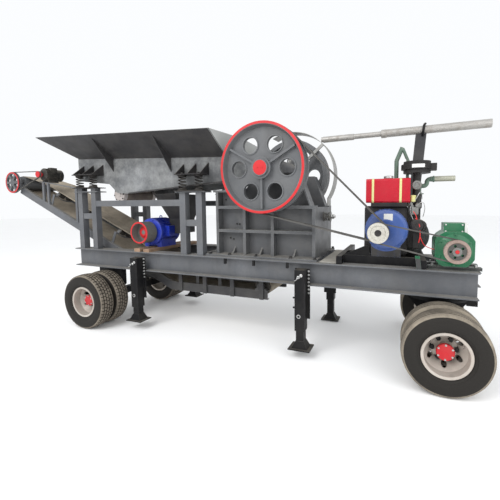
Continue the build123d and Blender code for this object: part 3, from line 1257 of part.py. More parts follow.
def roller_bar(plane, start, end, radius):
    """A round bar between two (y, v) points of a section plane."""
    a = plane.from_local_coords(Vector(start[0], start[1], 0))
    b = plane.from_local_coords(Vector(end[0], end[1], 0))
    return extrude(Plane(origin=a, z_dir=b - a) * Circle(radius), amount=(b - a).length)


def idler_rollers(plane, rise):
    """Three rollers under the carrying run; the plane's origin is on the belt's lower face."""
    depth = ROLLER_RADIUS + REST_GAP
    level_half = BELT_FLOOR_HALF - ROLLER_RADIUS / 2
    level = roller_bar(plane, (-level_half, -depth), (level_half, -depth), ROLLER_RADIUS)
    out = []
    for side in (-1, 1):
        start = wing_point(rise, WING_START, depth)
        end = wing_point(rise, WING_START + WING_ROLLER, depth)
        out.append(roller_bar(plane, (side * start[0], start[1]), (side * end[0], end[1]), ROLLER_RADIUS))
    return [level] + out


def idler_hoop(plane, belt_v, rise):
    """The curved hoop that carries an idler set, standing on both channels."""
    low = -2 * ROLLER_RADIUS - HOOP_CLEARANCE
    sag = HOOP_SAG + HOOP_SAG_PER_RISE * rise
    radius = (HOOP_HALF ** 2 + sag ** 2) / (2 * sag)
    ring = Pos(0, low + radius, 0) * (Circle(radius) - Circle(radius - HOOP_THICK))
    window = Pos(0, low + sag / 2 - HOOP_THICK, 0) * Rectangle(2 * HOOP_HALF, sag + 2 * HOOP_THICK)
    band = ring & window
    foot_v = CONV_CHANNEL - belt_v
    for side in (-1, 1):
        outer = side * HOOP_HALF
        inner = side * (HOOP_HALF - HOOP_THICK)
        band = band + Polygon((outer, foot_v), (outer, low + sag), (inner, low + sag), (inner, foot_v), align=None)
        near = WING_START + WING_ROLLER + REST_GAP
        far = near + HOOP_THICK
        lug = [wing_point(rise, near, LUG_TOP), wing_point(rise, far, LUG_TOP),
               wing_point(rise, far, LUG_FOOT), wing_point(rise, near, LUG_FOOT)]
        band = band + Polygon(*[(side * y, v) for y, v in lug], align=None)
    lug_top = -2 * (ROLLER_RADIUS + REST_GAP)
    band = band + Polygon((-LUG_HALF, lug_top), (-LUG_HALF, low + 1), (LUG_HALF, low + 1), (LUG_HALF, lug_top),
                          align=None)
    return extrude(plane * band, amount=HOOP_WIDTH / 2, both=True)


rollers = [tail_drum]
stands = []
for u in IDLER_PLACES:
    rollers += idler_rollers(incline_plane(u, carry_v), LOW_RISE if u < LOW_RISE_END else BELT_RISE)
    stands.append(idler_hoop(incline_plane(u, carry_v), carry_v, LOW_RISE if u < LOW_RISE_END else BELT_RISE))
for x in FLAT_IDLER_PLACES:
    level_v = carry_z - CONV_FLAT_BOTTOM
    rollers += idler_rollers(flat_plane(x, level_v), LOW_RISE)
    stands.append(idler_hoop(flat_plane(x, level_v), level_v, LOW_RISE))
save("conveyor_rollers", *rollers)


# Conveyor motor on its sloping platform
def platform_z(x):
    """Height of the platform's upper face at x."""
    return CONV_MOTOR_Z - CONV_MOTOR_RADIUS - MOTOR_FOOT - PLATFORM_SLOPE * (x - CONV_MOTOR_X)


def channel_top(x):
    """Height of the inclined channels' upper edge at x."""
    return CONV_FLAT_BOTTOM + (CONV_BEND_X - x) * tan(slope) + CONV_CHANNEL / cos(slope)


motor_y1 = HEAD_SHEAVE_Y + MOTOR_STANDOFF
conv_motor = turned(CONV_MOTOR_X, CONV_MOTOR_Z, [
    (0, motor_y1), (CONV_MOTOR_RADIUS * 0.62, motor_y1), (CONV_MOTOR_RADIUS, motor_y1 + 22),
    (CONV_MOTOR_RADIUS, motor_y1 + CONV_MOTOR_LENGTH - 70), (CONV_MOTOR_RADIUS + 5, motor_y1 + CONV_MOTOR_LENGTH - 70),
    (CONV_MOTOR_RADIUS + 5, motor_y1 + CONV_MOTOR_LENGTH - 8), (CONV_MOTOR_RADIUS - 14, motor_y1 + CONV_MOTOR_LENGTH),
    (0, motor_y1 + CONV_MOTOR_LENGTH),
])
foot_x0 = CONV_MOTOR_X - MOTOR_FOOT_HALF
foot_x1 = CONV_MOTOR_X + MOTOR_FOOT_HALF
conv_feet = side_profile([(foot_x0, platform_z(foot_x0)), (foot_x1, platform_z(foot_x1)),
                          (foot_x1 - 20, CONV_MOTOR_Z - 60), (foot_x0 + 20, CONV_MOTOR_Z - 60)],
                         motor_y1 + 60, motor_y1 + 230)
conv_box = block(CONV_MOTOR_X + 20, CONV_MOTOR_X + 110, motor_y1 + 90, motor_y1 + 200, CONV_MOTOR_Z + 40,
                 CONV_MOTOR_Z + CONV_MOTOR_RADIUS + 26)
conv_motor_bore = barrel(CONV_MOTOR_X, CONV_MOTOR_Z, MOTOR_SHAFT_RADIUS + RUN_FIT, motor_y1 - 1, motor_y1 + 41)
save("conveyor_motor", (conv_motor + conv_feet + conv_box) - conv_motor_bore)
conv_pulley = turned(CONV_MOTOR_X, CONV_MOTOR_Z, [
    (0, sheave_y0), (CONV_MOTOR_PULLEY_RADIUS, sheave_y0), *groove(CONV_MOTOR_PULLEY_RADIUS, HEAD_SHEAVE_Y),
    (CONV_MOTOR_PULLEY_RADIUS, sheave_y1), (MOTOR_SHAFT_RADIUS, sheave_y1),
    (MOTOR_SHAFT_RADIUS, motor_y1 + 40), (0, motor_y1 + 40),
])
save("conveyor_motor_pulley", conv_pulley)
platform = side_profile([
    (PLATFORM_LEFT_X, platform_z(PLATFORM_LEFT_X)), (PLATFORM_RIGHT_X, platform_z(PLATFORM_RIGHT_X)),
    (PLATFORM_RIGHT_X, platform_z(PLATFORM_RIGHT_X) - PLATFORM_SHEET),
    (PLATFORM_LEFT_X, platform_z(PLATFORM_LEFT_X) - PLATFORM_SHEET)], -CONV_HALF, -PLATFORM_INNER)


def platform_leg(x):
    half = PLATFORM_LEG / 2
    outline = [(x - half, channel_top(x - half)), (x + half, channel_top(x + half)),
               (x + half, platform_z(x + half) - PLATFORM_SHEET), (x - half, platform_z(x - half) - PLATFORM_SHEET)]
    return side_profile(outline, -CONV_HALF, -CONV_HALF + PLATFORM_LEG_DEPTH)


for x in PLATFORM_LEGS:
    platform = platform + platform_leg(x)
framework = ties + hangers + [head_bearing, mirrored(head_bearing), tail_bearing, mirrored(tail_bearing), platform]
save("conveyor_framework", *framework, *stands)

# Engine set on the chassis: skid of two cross bars and two long bars, with a sloping strut
skid_top = RAIL_TOP + SKID_HEIGHT
skid_out = RAIL_OUTER_Y - SKID_INSET
skid = block(SKID_X0, SKID_X0 + SKID_BAR, -skid_out, skid_out, RAIL_TOP, skid_top)
skid = skid + block(SKID_X1 - SKID_BAR, SKID_X1, -skid_out, skid_out, RAIL_TOP, skid_top)
for y in SKID_LINES:
    skid = skid + block(SKID_X0, SKID_X1, y - SKID_BAR / 2, y + SKID_BAR / 2, RAIL_TOP, skid_top)
strut_x = GEARCASE_X - GEARCASE_RADIUS * 0.7 - BODY_GAP
skid = skid + side_profile([(SKID_X0 + SKID_BAR, skid_top), (strut_x, skid_top), (strut_x - 26, STRUT_TOP),
                            (strut_x - 60, STRUT_TOP)], SKID_LINES[0] - 15, SKID_LINES[0] + 15)
save("engine_skid", skid)

# Gear case: a stepped round housing towards the near side
gear_y0 = -490.0
gear_y1 = ENGINE_NEAR_Y
gearcase = turned(GEARCASE_X, GEARCASE_Z, [
    (0, gear_y0 + GEAR_LIP), (GEARCASE_RADIUS * 0.5, gear_y0), (GEARCASE_RADIUS * 0.88, gear_y0 + GEAR_LIP),
    (GEARCASE_RADIUS, gear_y0 + 2.4 * GEAR_LIP), (GEARCASE_RADIUS, gear_y1 - GEAR_LIP),
    (GEARCASE_RADIUS + GEAR_LIP, gear_y1 - GEAR_LIP), (GEARCASE_RADIUS + GEAR_LIP, gear_y1), (0, gear_y1)])
gearcase = gearcase + block(GEARCASE_X - GEARCASE_RADIUS * 0.7, GEARCASE_X + GEARCASE_RADIUS * 0.7, gear_y0 + 50, gear_y1,
                            skid_top, GEARCASE_Z)
hub_face = barrel(ENGINE_PULLEY_X, ENGINE_PULLEY_Z, CRANK_RADIUS * 2, gear_y0 - 6, gear_y0 + 60)
crank_bore = barrel(ENGINE_PULLEY_X, ENGINE_PULLEY_Z, CRANK_RADIUS + RUN_FIT, gear_y0 - 7, gear_y0 + 80)
save("engine_gearcase", (gearcase + hub_face) - crank_bore)

# Engine: crankcase with a sloping deck, cylinder and head towards the generator
crankcase = side_profile([
    (CASE_X0, skid_top), (CASE_X1, skid_top), (CASE_X1, CASE_TOP - 90), (CASE_X1 - 60, CASE_TOP),
    (CASE_X0 + 60, CASE_TOP), (CASE_X0, CASE_TOP - 130)], ENGINE_NEAR_Y, ENGINE_FAR_Y)
cylinder = block(CASE_X1, HEAD_X0, ENGINE_NEAR_Y + 40, ENGINE_FAR_Y - 40, skid_top + 90, CASE_TOP - 50)
head = block(HEAD_X0, HEAD_X1, ENGINE_NEAR_Y + 25, ENGINE_FAR_Y - 25, skid_top + 70, CASE_TOP - 20)
side_cover = barrel((CASE_X1 + HEAD_X1) / 2, COVER_Z, COVER_RADIUS, ENGINE_NEAR_Y - 34, ENGINE_NEAR_Y + 60)
rocker = block(HEAD_X0 - 70, HEAD_X1, ENGINE_NEAR_Y + 60, ENGINE_FAR_Y - 90, CASE_TOP - 50, ROCKER_TOP)
column = extrude(Plane(origin=(CLEANER_X, CLEANER_Y, CASE_TOP - 60)) * Circle(NECK_RADIUS),
                 amount=CLEANER_Z0 - CASE_TOP + 60)
save("engine_block", crankcase + cylinder + head + side_cover + rocker + column)

# Fuel tank on its saddle
tank_body = block(TANK_X0, TANK_X1, TANK_NEAR_Y, TANK_NEAR_Y + TANK_DEPTH, TANK_Z0, TANK_Z1)
tank_body = fillet(tank_body.edges().filter_by(Axis.X), TANK_CORNER)
filler = extrude(Plane(origin=(FILLER_X, TANK_NEAR_Y + TANK_DEPTH / 2, TANK_Z1 - 4)) * Circle(FILLER_RADIUS), amount=30)
tank_seat = block(TANK_X0 + 70, TANK_X1 - 70, TANK_NEAR_Y + 24, TANK_NEAR_Y + TANK_DEPTH - 24, CASE_TOP, TANK_Z0 + 1)
save("fuel_tank", tank_body + filler + tank_seat)

# Air cleaner: a flat round pan with a lip and an intake snout
cleaner_plane = Plane(origin=(CLEANER_X, CLEANER_Y, CLEANER_Z0 + REST_GAP))
cleaner = extrude(cleaner_plane * Circle(CLEANER_RADIUS - CLEANER_LIP), amount=CLEANER_HEIGHT)
cleaner = cleaner + extrude(cleaner_plane.offset(CLEANER_HEIGHT * 0.3) * Circle(CLEANER_RADIUS),
                            amount=CLEANER_HEIGHT * 0.46)
snout = block(CLEANER_X + CLEANER_RADIUS * 0.6, CLEANER_X + CLEANER_RADIUS + 34, CLEANER_Y - 90, CLEANER_Y - 10,
              CLEANER_Z0 + 22, CLEANER_Z0 + 104)
save("air_cleaner", cleaner + snout)


# Pipes: exhaust elbow with its long silencer, and the arched pipe over the tank
def pipe(points, radius, corner):
    """A bent round pipe through the given points, in one plane across the plant."""
    line = Polyline(*points)
    path = fillet(line.vertices().sort_by_distance(line @ 0)[1:-1], corner)
    start = Plane(origin=path @ 0, z_dir=path % 0)
    return sweep(start * Circle(radius), path=path)


elbow = pipe([(EXHAUST_PORT_X, EXHAUST_Y, ROCKER_TOP), (EXHAUST_PORT_X, EXHAUST_Y, EXHAUST_LOW_Z), (EXHAUST_BEND_X, EXHAUST_Y, EXHAUST_LOW_Z),
              (EXHAUST_BEND_X, EXHAUST_Y, EXHAUST_Z), (EXHAUST_TIP_X - 4, EXHAUST_Y, EXHAUST_Z)], ELBOW_RADIUS, ELBOW_BEND)
silencer = extrude(Plane(origin=(EXHAUST_BEND_X + ELBOW_BEND, EXHAUST_Y, EXHAUST_Z), z_dir=(1, 0, 0))
                   * Circle(SILENCER_RADIUS), amount=EXHAUST_TIP_X - EXHAUST_BEND_X - ELBOW_BEND)
silencer = silencer - extrude(Plane(origin=(EXHAUST_TIP_X - 60, EXHAUST_Y, EXHAUST_Z), z_dir=(1, 0, 0))
                              * Circle(SILENCER_RADIUS - 5), amount=70)
drum = barrel(CLEANER_X, EXHAUST_LOW_Z, MANIFOLD_RADIUS, CLEANER_Y - MANIFOLD_HALF, CLEANER_Y - NECK_RADIUS - REST_GAP)
arch = pipe([(ARCH_LEFT_X, ARCH_Y, CASE_TOP), (ARCH_LEFT_X, ARCH_Y, ARCH_SPRING_Z), (ARCH_TOP_X, ARCH_Y, ARCH_TOP_Z),
             (ARCH_RIGHT_X, ARCH_Y, ARCH_SPRING_Z), (ARCH_RIGHT_X, ARCH_Y, CASE_TOP)], ARCH_RADIUS, ARCH_BEND)
save("exhaust_pipes", elbow + silencer, drum, arch)

# Fan guard: a round mesh cover on the far side of the engine, standing on the skid
fan_guard = barrel(FAN_X, FAN_Z, FAN_RADIUS, FAN_Y, FAN_Y + FAN_DEPTH)
fan_foot = block(FAN_X - 60, SKID_X1 - 20, FAN_Y + 10, FAN_Y + FAN_DEPTH - 10, skid_top, FAN_Z)
save("fan_guard", fan_guard + fan_foot)

pulley_y0 = BELT_PLANES[0] - GROOVE_PITCH
pulley_y1 = BELT_PLANES[-1] + GROOVE_PITCH


def grooved_pulley(x, z, radius, bore, y0, y1, planes):
    """A V-belt pulley with a groove at each belt plane and a recessed face."""
    face = radius - GROOVE_DEPTH - PULLEY_RIM
    outline = [(bore, y1), (bore, y0 + PULLEY_DISH), (face, y0 + PULLEY_DISH), (face + 6, y0), (radius, y0)]
    for y in planes:
        outline += groove(radius, y)
    outline.append((radius, y1))
    return turned(x, z, outline)


crank_end = barrel(ENGINE_PULLEY_X, ENGINE_PULLEY_Z, CRANK_RADIUS, pulley_y0 + CRANK_RECESS, gear_y0 + 78)
engine_pulley = grooved_pulley(ENGINE_PULLEY_X, ENGINE_PULLEY_Z, ENGINE_PULLEY_RADIUS, CRANK_RADIUS, pulley_y0, pulley_y1,
                               BELT_PLANES)
save("engine_pulley", crank_end + engine_pulley)

# Generator: a flat-sided round frame on slide rails, with its terminal box
gen_y1 = GENERATOR_Y + GENERATOR_LENGTH
gen_body = barrel(GENERATOR_X, GENERATOR_Z, GENERATOR_RADIUS * 1.12, GENERATOR_Y + 26, gen_y1 - 40) & block(
    GENERATOR_X - GENERATOR_RADIUS, GENERATOR_X + GENERATOR_RADIUS, GENERATOR_Y, gen_y1,
    GENERATOR_Z - GENERATOR_RADIUS, GENERATOR_Z + GENERATOR_RADIUS)
gen_body = gen_body + turned(GENERATOR_X, GENERATOR_Z, [
    (0, GENERATOR_Y), (GENERATOR_RADIUS * 0.55, GENERATOR_Y), (GENERATOR_RADIUS * 0.93, GENERATOR_Y + 30),
    (GENERATOR_RADIUS * 0.93, gen_y1 - 30), (GENERATOR_RADIUS * 0.7, gen_y1), (0, gen_y1)])
gen_feet = block(GENERATOR_X - 150, GENERATOR_X + 150, GENERATOR_Y + 80, gen_y1 - 70, RAIL_TOP + GEN_RAIL,
                 GENERATOR_Z - 100)
gen_box = block(GENERATOR_X - 104, GENERATOR_X + 96, GENERATOR_Y + 90, gen_y1 - 110, GENERATOR_Z + 150, GEN_BOX_TOP)
gen_plate = block(GENERATOR_X + 96, GENERATOR_X + 126, GENERATOR_Y + 80, gen_y1 - 100, GENERATOR_Z + 120, GEN_BOX_TOP)
gen_rails = block(GENERATOR_X - 255, GENERATOR_X + 275, GENERATOR_Y + 70, GENERATOR_Y + 150, RAIL_TOP, RAIL_TOP + GEN_RAIL)
gen_rails = gen_rails + Pos(0, GENERATOR_LENGTH - 220, 0) * gen_rails
gen_bore = barrel(GENERATOR_X, GENERATOR_Z, MOTOR_SHAFT_RADIUS + RUN_FIT, GENERATOR_Y - 1, GENERATOR_Y + 60)
tensioner = side_profile([(TENSION_X - 24, RAIL_TOP), (TENSION_X + 24, RAIL_TOP), (TENSION_X + 4, TENSION_TOP),
                          (TENSION_X - 46, TENSION_TOP)], -RAIL_OUTER_Y + 4, -RAIL_OUTER_Y + 16)
save("generator", (gen_body + gen_feet + gen_box + gen_plate + gen_rails) - gen_bore, tensioner)
gen_shaft = barrel(GENERATOR_X, GENERATOR_Z, MOTOR_SHAFT_RADIUS, pulley_y0 + GEN_DISH, GENERATOR_Y + 58)
gen_pulley = grooved_pulley(GENERATOR_X, GENERATOR_Z, GENERATOR_PULLEY_RADIUS, MOTOR_SHAFT_RADIUS, pulley_y0,
                            pulley_y0 + 2 * GROOVE_PITCH, BELT_PLANES[:1])
for index in range(GEN_HOLES):
    angle = 2 * pi * (index + 0.5) / GEN_HOLES
    gen_pulley = gen_pulley - barrel(GENERATOR_X + GEN_HOLE_CIRCLE * cos(angle), GENERATOR_Z + GEN_HOLE_CIRCLE * sin(angle),
                                     GEN_HOLE_RADIUS, pulley_y0 - 1, pulley_y0 + 3 * GROOVE_PITCH)
save("generator_pulley", gen_shaft + gen_pulley)

# Drive belts
main_belts = [v_belt(SHAFT_X, SHAFT_Z, FLYWHEEL_RADIUS, ENGINE_PULLEY_X, ENGINE_PULLEY_Z, ENGINE_PULLEY_RADIUS, y)
              for y in BELT_PLANES[1:]]
generator_belt = v_belt(ENGINE_PULLEY_X, ENGINE_PULLEY_Z, ENGINE_PULLEY_RADIUS, GENERATOR_X, GENERATOR_Z,
                        GENERATOR_PULLEY_RADIUS, BELT_PLANES[0])
head_belt = v_belt(CONV_HEAD_X, CONV_HEAD_Z, HEAD_SHEAVE_RADIUS, CONV_MOTOR_X, CONV_MOTOR_Z,
                   CONV_MOTOR_PULLEY_RADIUS, HEAD_SHEAVE_Y)
save("drive_belts", *main_belts, generator_belt, head_belt)

# Electric motor on sleepers
motor_pulley_y0 = -RAIL_OUTER_Y
pulley_hub_y0 = motor_pulley_y0 + MOTOR_PULLEY_WIDTH * 0.45
pulley_web_y0 = motor_pulley_y0 + MOTOR_PULLEY_WIDTH * 0.6
motor_pulley = turned(MOTOR_X, MOTOR_Z, [
    (0, pulley_hub_y0), (MAIN_MOTOR_SHAFT * 1.8, pulley_hub_y0), (MAIN_MOTOR_SHAFT * 1.8, pulley_web_y0),
    (MOTOR_PULLEY_RADIUS - MOTOR_PULLEY_RIM, pulley_web_y0), (MOTOR_PULLEY_RADIUS - MOTOR_PULLEY_RIM, motor_pulley_y0),
    (MOTOR_PULLEY_RADIUS, motor_pulley_y0), (MOTOR_PULLEY_RADIUS, motor_pulley_y0 + MOTOR_PULLEY_WIDTH),
    (0, motor_pulley_y0 + MOTOR_PULLEY_WIDTH),
])
motor_y0 = motor_pulley_y0 + MOTOR_PULLEY_WIDTH + PULLEY_STANDOFF
motor_y1 = motor_y0 + MOTOR_LENGTH
motor_shaft = barrel(MOTOR_X, MOTOR_Z, MAIN_MOTOR_SHAFT, motor_y0 - 2 * PULLEY_STANDOFF, motor_y0 + 78)
save("motor_pulley", motor_pulley + motor_shaft)
sleeper_top = RAIL_TOP + SLEEPER_THICK
motor_body = turned(MOTOR_X, MOTOR_Z, [
    (0, motor_y0), (MOTOR_RADIUS * 0.45, motor_y0), (MOTOR_RADIUS * 0.95, motor_y0 + 22), (MOTOR_RADIUS, motor_y0 + 30),
    (MOTOR_RADIUS, motor_y0 + 62), (MOTOR_RADIUS - 16, motor_y0 + 66), (MOTOR_RADIUS - 16, motor_y1 - 116),
    (MOTOR_RADIUS - 4, motor_y1 - 112), (MOTOR_RADIUS - 4, motor_y1 - 12), (MOTOR_RADIUS - 30, motor_y1), (0, motor_y1),
])
motor_feet = block(MOTOR_X - 170, MOTOR_X + 170, motor_y0 + 60, motor_y1 - 80, sleeper_top, MOTOR_Z - 130)
motor_feet = motor_feet - block(MOTOR_X - 90, MOTOR_X + 90, motor_y0 + 59, motor_y1 - 79, sleeper_top - 1,
                                sleeper_top + 20)
motor_box = block(MOTOR_X + MOTOR_RADIUS - 60, MOTOR_X + MOTOR_RADIUS + 46, motor_y0 + 150, motor_y0 + 330, MOTOR_Z - 80,
                  MOTOR_Z + 90)
motor_bore = barrel(MOTOR_X, MOTOR_Z, MAIN_MOTOR_SHAFT + RUN_FIT, motor_y0 - 1, motor_y0 + 80)
save("electric_motor", (motor_body + motor_feet + motor_box) - motor_bore)
sleepers = [block(x - SLEEPER_WIDTH / 2, x + SLEEPER_WIDTH / 2, -RAIL_OUTER_Y + 8, RAIL_OUTER_Y - 8, RAIL_TOP,
                  sleeper_top) for x in SLEEPER_PLACES]
save("motor_sleepers", *sleepers)

# Overhead pole on the guard and a leaning post
pole_slope = atan2(POLE_RISE, POLE_RIGHT_X - POLE_LEFT_X)
pole_left_z = SHAFT_Z + sqrt(GUARD_RADIUS ** 2 - (POLE_LEFT_X - SHAFT_X) ** 2) + POLE_THIN_RADIUS + 2 * REST_GAP
pole_dir = (cos(pole_slope), 0, sin(pole_slope))
pole_len = (POLE_RIGHT_X - POLE_LEFT_X - POLE_THICK_RADIUS * sin(pole_slope)) / cos(pole_slope)
pole_base = Plane(origin=(POLE_LEFT_X, POLE_Y, pole_left_z), z_dir=pole_dir)
pole = extrude(pole_base * Circle(POLE_THIN_RADIUS), amount=pole_len * 0.4)
thick_base = Plane(origin=(POLE_LEFT_X + pole_len * 0.4 * pole_dir[0], POLE_Y,
                           pole_left_z + pole_len * 0.4 * pole_dir[2]), z_dir=pole_dir)
pole = pole + extrude(thick_base * Circle(POLE_THICK_RADIUS), amount=pole_len * 0.6)
save("overhead_pole", pole)


def pole_axis_z(x):
    return pole_left_z + (x - POLE_LEFT_X) * tan(pole_slope)


lean = radians(POST_LEAN)
post_left = POST_BASE_X - POST_WIDTH / 2 + (pole_left_z - RAIL_TOP) * tan(lean)
post_top = pole_axis_z(post_left) - POLE_THICK_RADIUS / cos(pole_slope) - REST_GAP
shift = (post_top - RAIL_TOP) * tan(lean)
post = side_profile([(POST_BASE_X - POST_WIDTH / 2, RAIL_TOP), (POST_BASE_X + POST_WIDTH / 2, RAIL_TOP),
                     (POST_BASE_X + POST_WIDTH / 2 + shift, post_top),
                     (POST_BASE_X - POST_WIDTH / 2 + shift, post_top)], POLE_Y - POST_DEPTH / 2, POLE_Y + POST_DEPTH / 2)
save("pole_post", post)
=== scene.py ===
"""Looks of a wheeled jaw crushing plant: paints, wear, dust and the fittings that its solids leave out.

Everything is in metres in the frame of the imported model. The near side, with the V-belts, is -Y, and the
engine end is +X. Places along the plant are measured from the middle of the main rails, across it from its
centre line and up from the ground. A profile is the radius and height of each ring of a round piece.
"""

import logging
import math
from dataclasses import dataclass
from enum import Enum
from typing import Callable, Iterable, Sequence

import bpy
from mathutils import Euler, Matrix, Vector


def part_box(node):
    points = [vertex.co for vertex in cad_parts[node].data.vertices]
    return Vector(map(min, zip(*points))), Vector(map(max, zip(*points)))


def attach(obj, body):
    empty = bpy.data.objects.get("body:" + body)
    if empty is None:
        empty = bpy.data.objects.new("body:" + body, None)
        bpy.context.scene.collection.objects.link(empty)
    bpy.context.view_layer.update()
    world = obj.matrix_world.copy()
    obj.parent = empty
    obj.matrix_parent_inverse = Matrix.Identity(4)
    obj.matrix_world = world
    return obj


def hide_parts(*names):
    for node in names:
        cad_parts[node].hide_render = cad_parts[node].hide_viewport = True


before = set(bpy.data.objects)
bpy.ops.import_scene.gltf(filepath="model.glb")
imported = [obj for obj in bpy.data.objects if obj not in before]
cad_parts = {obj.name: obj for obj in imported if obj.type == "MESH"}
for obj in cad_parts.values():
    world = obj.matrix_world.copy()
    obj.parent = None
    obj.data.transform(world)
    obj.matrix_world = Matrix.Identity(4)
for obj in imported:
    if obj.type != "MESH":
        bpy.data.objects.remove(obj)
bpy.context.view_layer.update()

log = logging.getLogger("crushing_plant")
Piece = bpy.types.Object
Socket = bpy.types.NodeSocket
Pair = tuple[float, float]
Triple = tuple[float, float, float]
Profile = Sequence[Pair]
UNIT: Triple = (1.0, 1.0, 1.0)
MERGE = 0.00002


class Body(Enum):
    """The moving bodies of the plant, by their names in the frame."""

    ROOT = "root"
    SHAFT = "crusher_shaft"
    MOTOR = "electric_motor_drive"
    ENGINE = "engine_drive"
    GENERATOR = "generator_drive"
    HEAD = "conveyor_head"


class Slot(Enum):
    """The record's material slots, passed with each new piece; nothing reads them."""

    FRAME = "frame_paint"
    CRUSHER = "crusher_paint"
    HOPPER = "hopper_paint"
    FEEDER = "feeder_metal"
    LEG = "leg_paint"
    TYRE = "tyre_rubber"
    RIM = "rim_paint"
    SHAFT = "shaft_steel"
    FLYWHEEL = "flywheel_paint"
    MOTOR = "motor_blue"
    ENGINE = "engine_black"
    GEARCASE = "gearcase_blue"
    TANK = "tank_red"
    GENERATOR = "generator_green"
    FILTER = "filter_plastic"
    EXHAUST = "exhaust_paint"
    PULLEY = "pulley_grey"
    MESH = "mesh_grey"
    POLE = "pole_metal"


class Facing(Enum):
    """The way a fastener's head or a round piece's end looks, as the turn that brings its own +Z there."""

    UP = (0.0, 0.0, 0.0)
    NEAR = (math.pi / 2, 0.0, 0.0)
    FAR = (-math.pi / 2, 0.0, 0.0)
    RIGHT = (0.0, math.pi / 2, 0.0)

    def turn(self) -> Matrix:
        """The rotation matrix of this way of facing."""
        return Euler(self.value).to_matrix().to_4x4()


SIDES = (("near", -1.0, Facing.NEAR), ("far", 1.0, Facing.FAR))
RAIL_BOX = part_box("main_rails")
RAIL_MID_X = (RAIL_BOX[0][0] + RAIL_BOX[1][0]) / 2
RAIL_TOP = RAIL_BOX[1][2]


def place(along: float, across: float, height: float) -> Vector:
    """A point of the plant.

    Args:
        along: Metres from the middle of the main rails towards the engine end.
        across: Metres from the centre line, negative on the near side.
        height: Metres above the ground.

    Returns:
        The point in the frame.
    """
    return Vector((RAIL_MID_X + along, across, height))


# ---- Bench: modelling with Blender's own tools


def clear() -> None:
    """Leave edit mode and deselect every object."""
    if bpy.context.object and bpy.context.object.mode != "OBJECT":
        bpy.ops.object.mode_set(mode="OBJECT")
    bpy.ops.object.select_all(action="DESELECT")


def pick(*pieces: Piece) -> None:
    """Select pieces, and nothing else.

    Args:
        pieces: The pieces; the first one becomes active.
    """
    clear()
    for piece in pieces:
        piece.select_set(True)
    bpy.context.view_layer.objects.active = pieces[0]


def edit() -> None:
    """Enter edit mode on the active piece with all of its mesh selected."""
    bpy.ops.object.mode_set(mode="EDIT")
    bpy.ops.mesh.select_all(action="SELECT")


def leave() -> None:
    """Leave edit mode."""
    bpy.ops.object.mode_set(mode="OBJECT")


def settle(piece: Piece, matrix: Matrix) -> Piece:
    """Turn and shift a piece, and write that into its mesh.

    Args:
        piece: A piece modelled about the origin.
        matrix: Where it goes.

    Returns:
        The same piece, its object at the origin, unturned and unscaled.
    """
    piece.matrix_world = matrix
    pick(piece)
    bpy.ops.object.transform_apply(location=True, rotation=True, scale=True)
    return piece


def spot(point: Sequence[float], facing: Facing = Facing.UP) -> Matrix:
    """The matrix of a piece that stands at a point and looks one way."""
    return Matrix.Translation(point) @ facing.turn()


def smooth(piece: Piece, degrees: float = 32.0) -> Piece:
    """Shade a piece smooth over its blunt edges.

    Args:
        piece: The piece.
        degrees: Faces that meet at less than this angle are shaded as one.

    Returns:
        The same piece.
    """
    pick(piece)
    bpy.ops.object.shade_smooth_by_angle(angle=math.radians(degrees))
    return piece


def outward(piece: Piece) -> Piece:
    """Merge doubled points of a piece and point its faces outwards.

    Args:
        piece: The piece.

    Returns:
        The same piece.
    """
    pick(piece)
    edit()
    bpy.ops.mesh.remove_doubles(threshold=MERGE)
    bpy.ops.mesh.normals_make_consistent(inside=False)
    leave()
    return piece


def choose(piece: Piece, test: Callable[[bpy.types.MeshPolygon], bool]) -> None:
    """Enter edit mode on a piece with only some faces selected.

    Args:
        piece: The piece.
        test: Tells of a face whether it is selected.
    """
    pick(piece)
    bpy.ops.object.mode_set(mode="EDIT")
    bpy.ops.mesh.select_mode(type="FACE")
    bpy.ops.mesh.select_all(action="DESELECT")
    leave()
    for polygon in piece.data.polygons:
        polygon.select = test(polygon)
    bpy.ops.object.mode_set(mode="EDIT")


def block(name: str, low: Sequence[float], high: Sequence[float], edge: float = 0.002) -> Piece:
    """A squared piece with eased edges.

    Args:
        name: Name of the piece.
        low: Its lowest corner.
        high: Its highest corner.
        edge: Width of the eased edges.

    Returns:
        The piece.
    """
    clear()
    bpy.ops.mesh.primitive_cube_add(size=1.0, location=[(a + b) / 2 for a, b in zip(low, high)])
    piece = bpy.context.object
    piece.name = name
    piece.scale = [b - a for a, b in zip(low, high)]
    bpy.ops.object.transform_apply(location=True, rotation=True, scale=True)
    if edge > 0:
        edit()
        bpy.ops.mesh.bevel(offset=edge, segments=2, affect="EDGES", clamp_overlap=True)
        leave()
    return piece


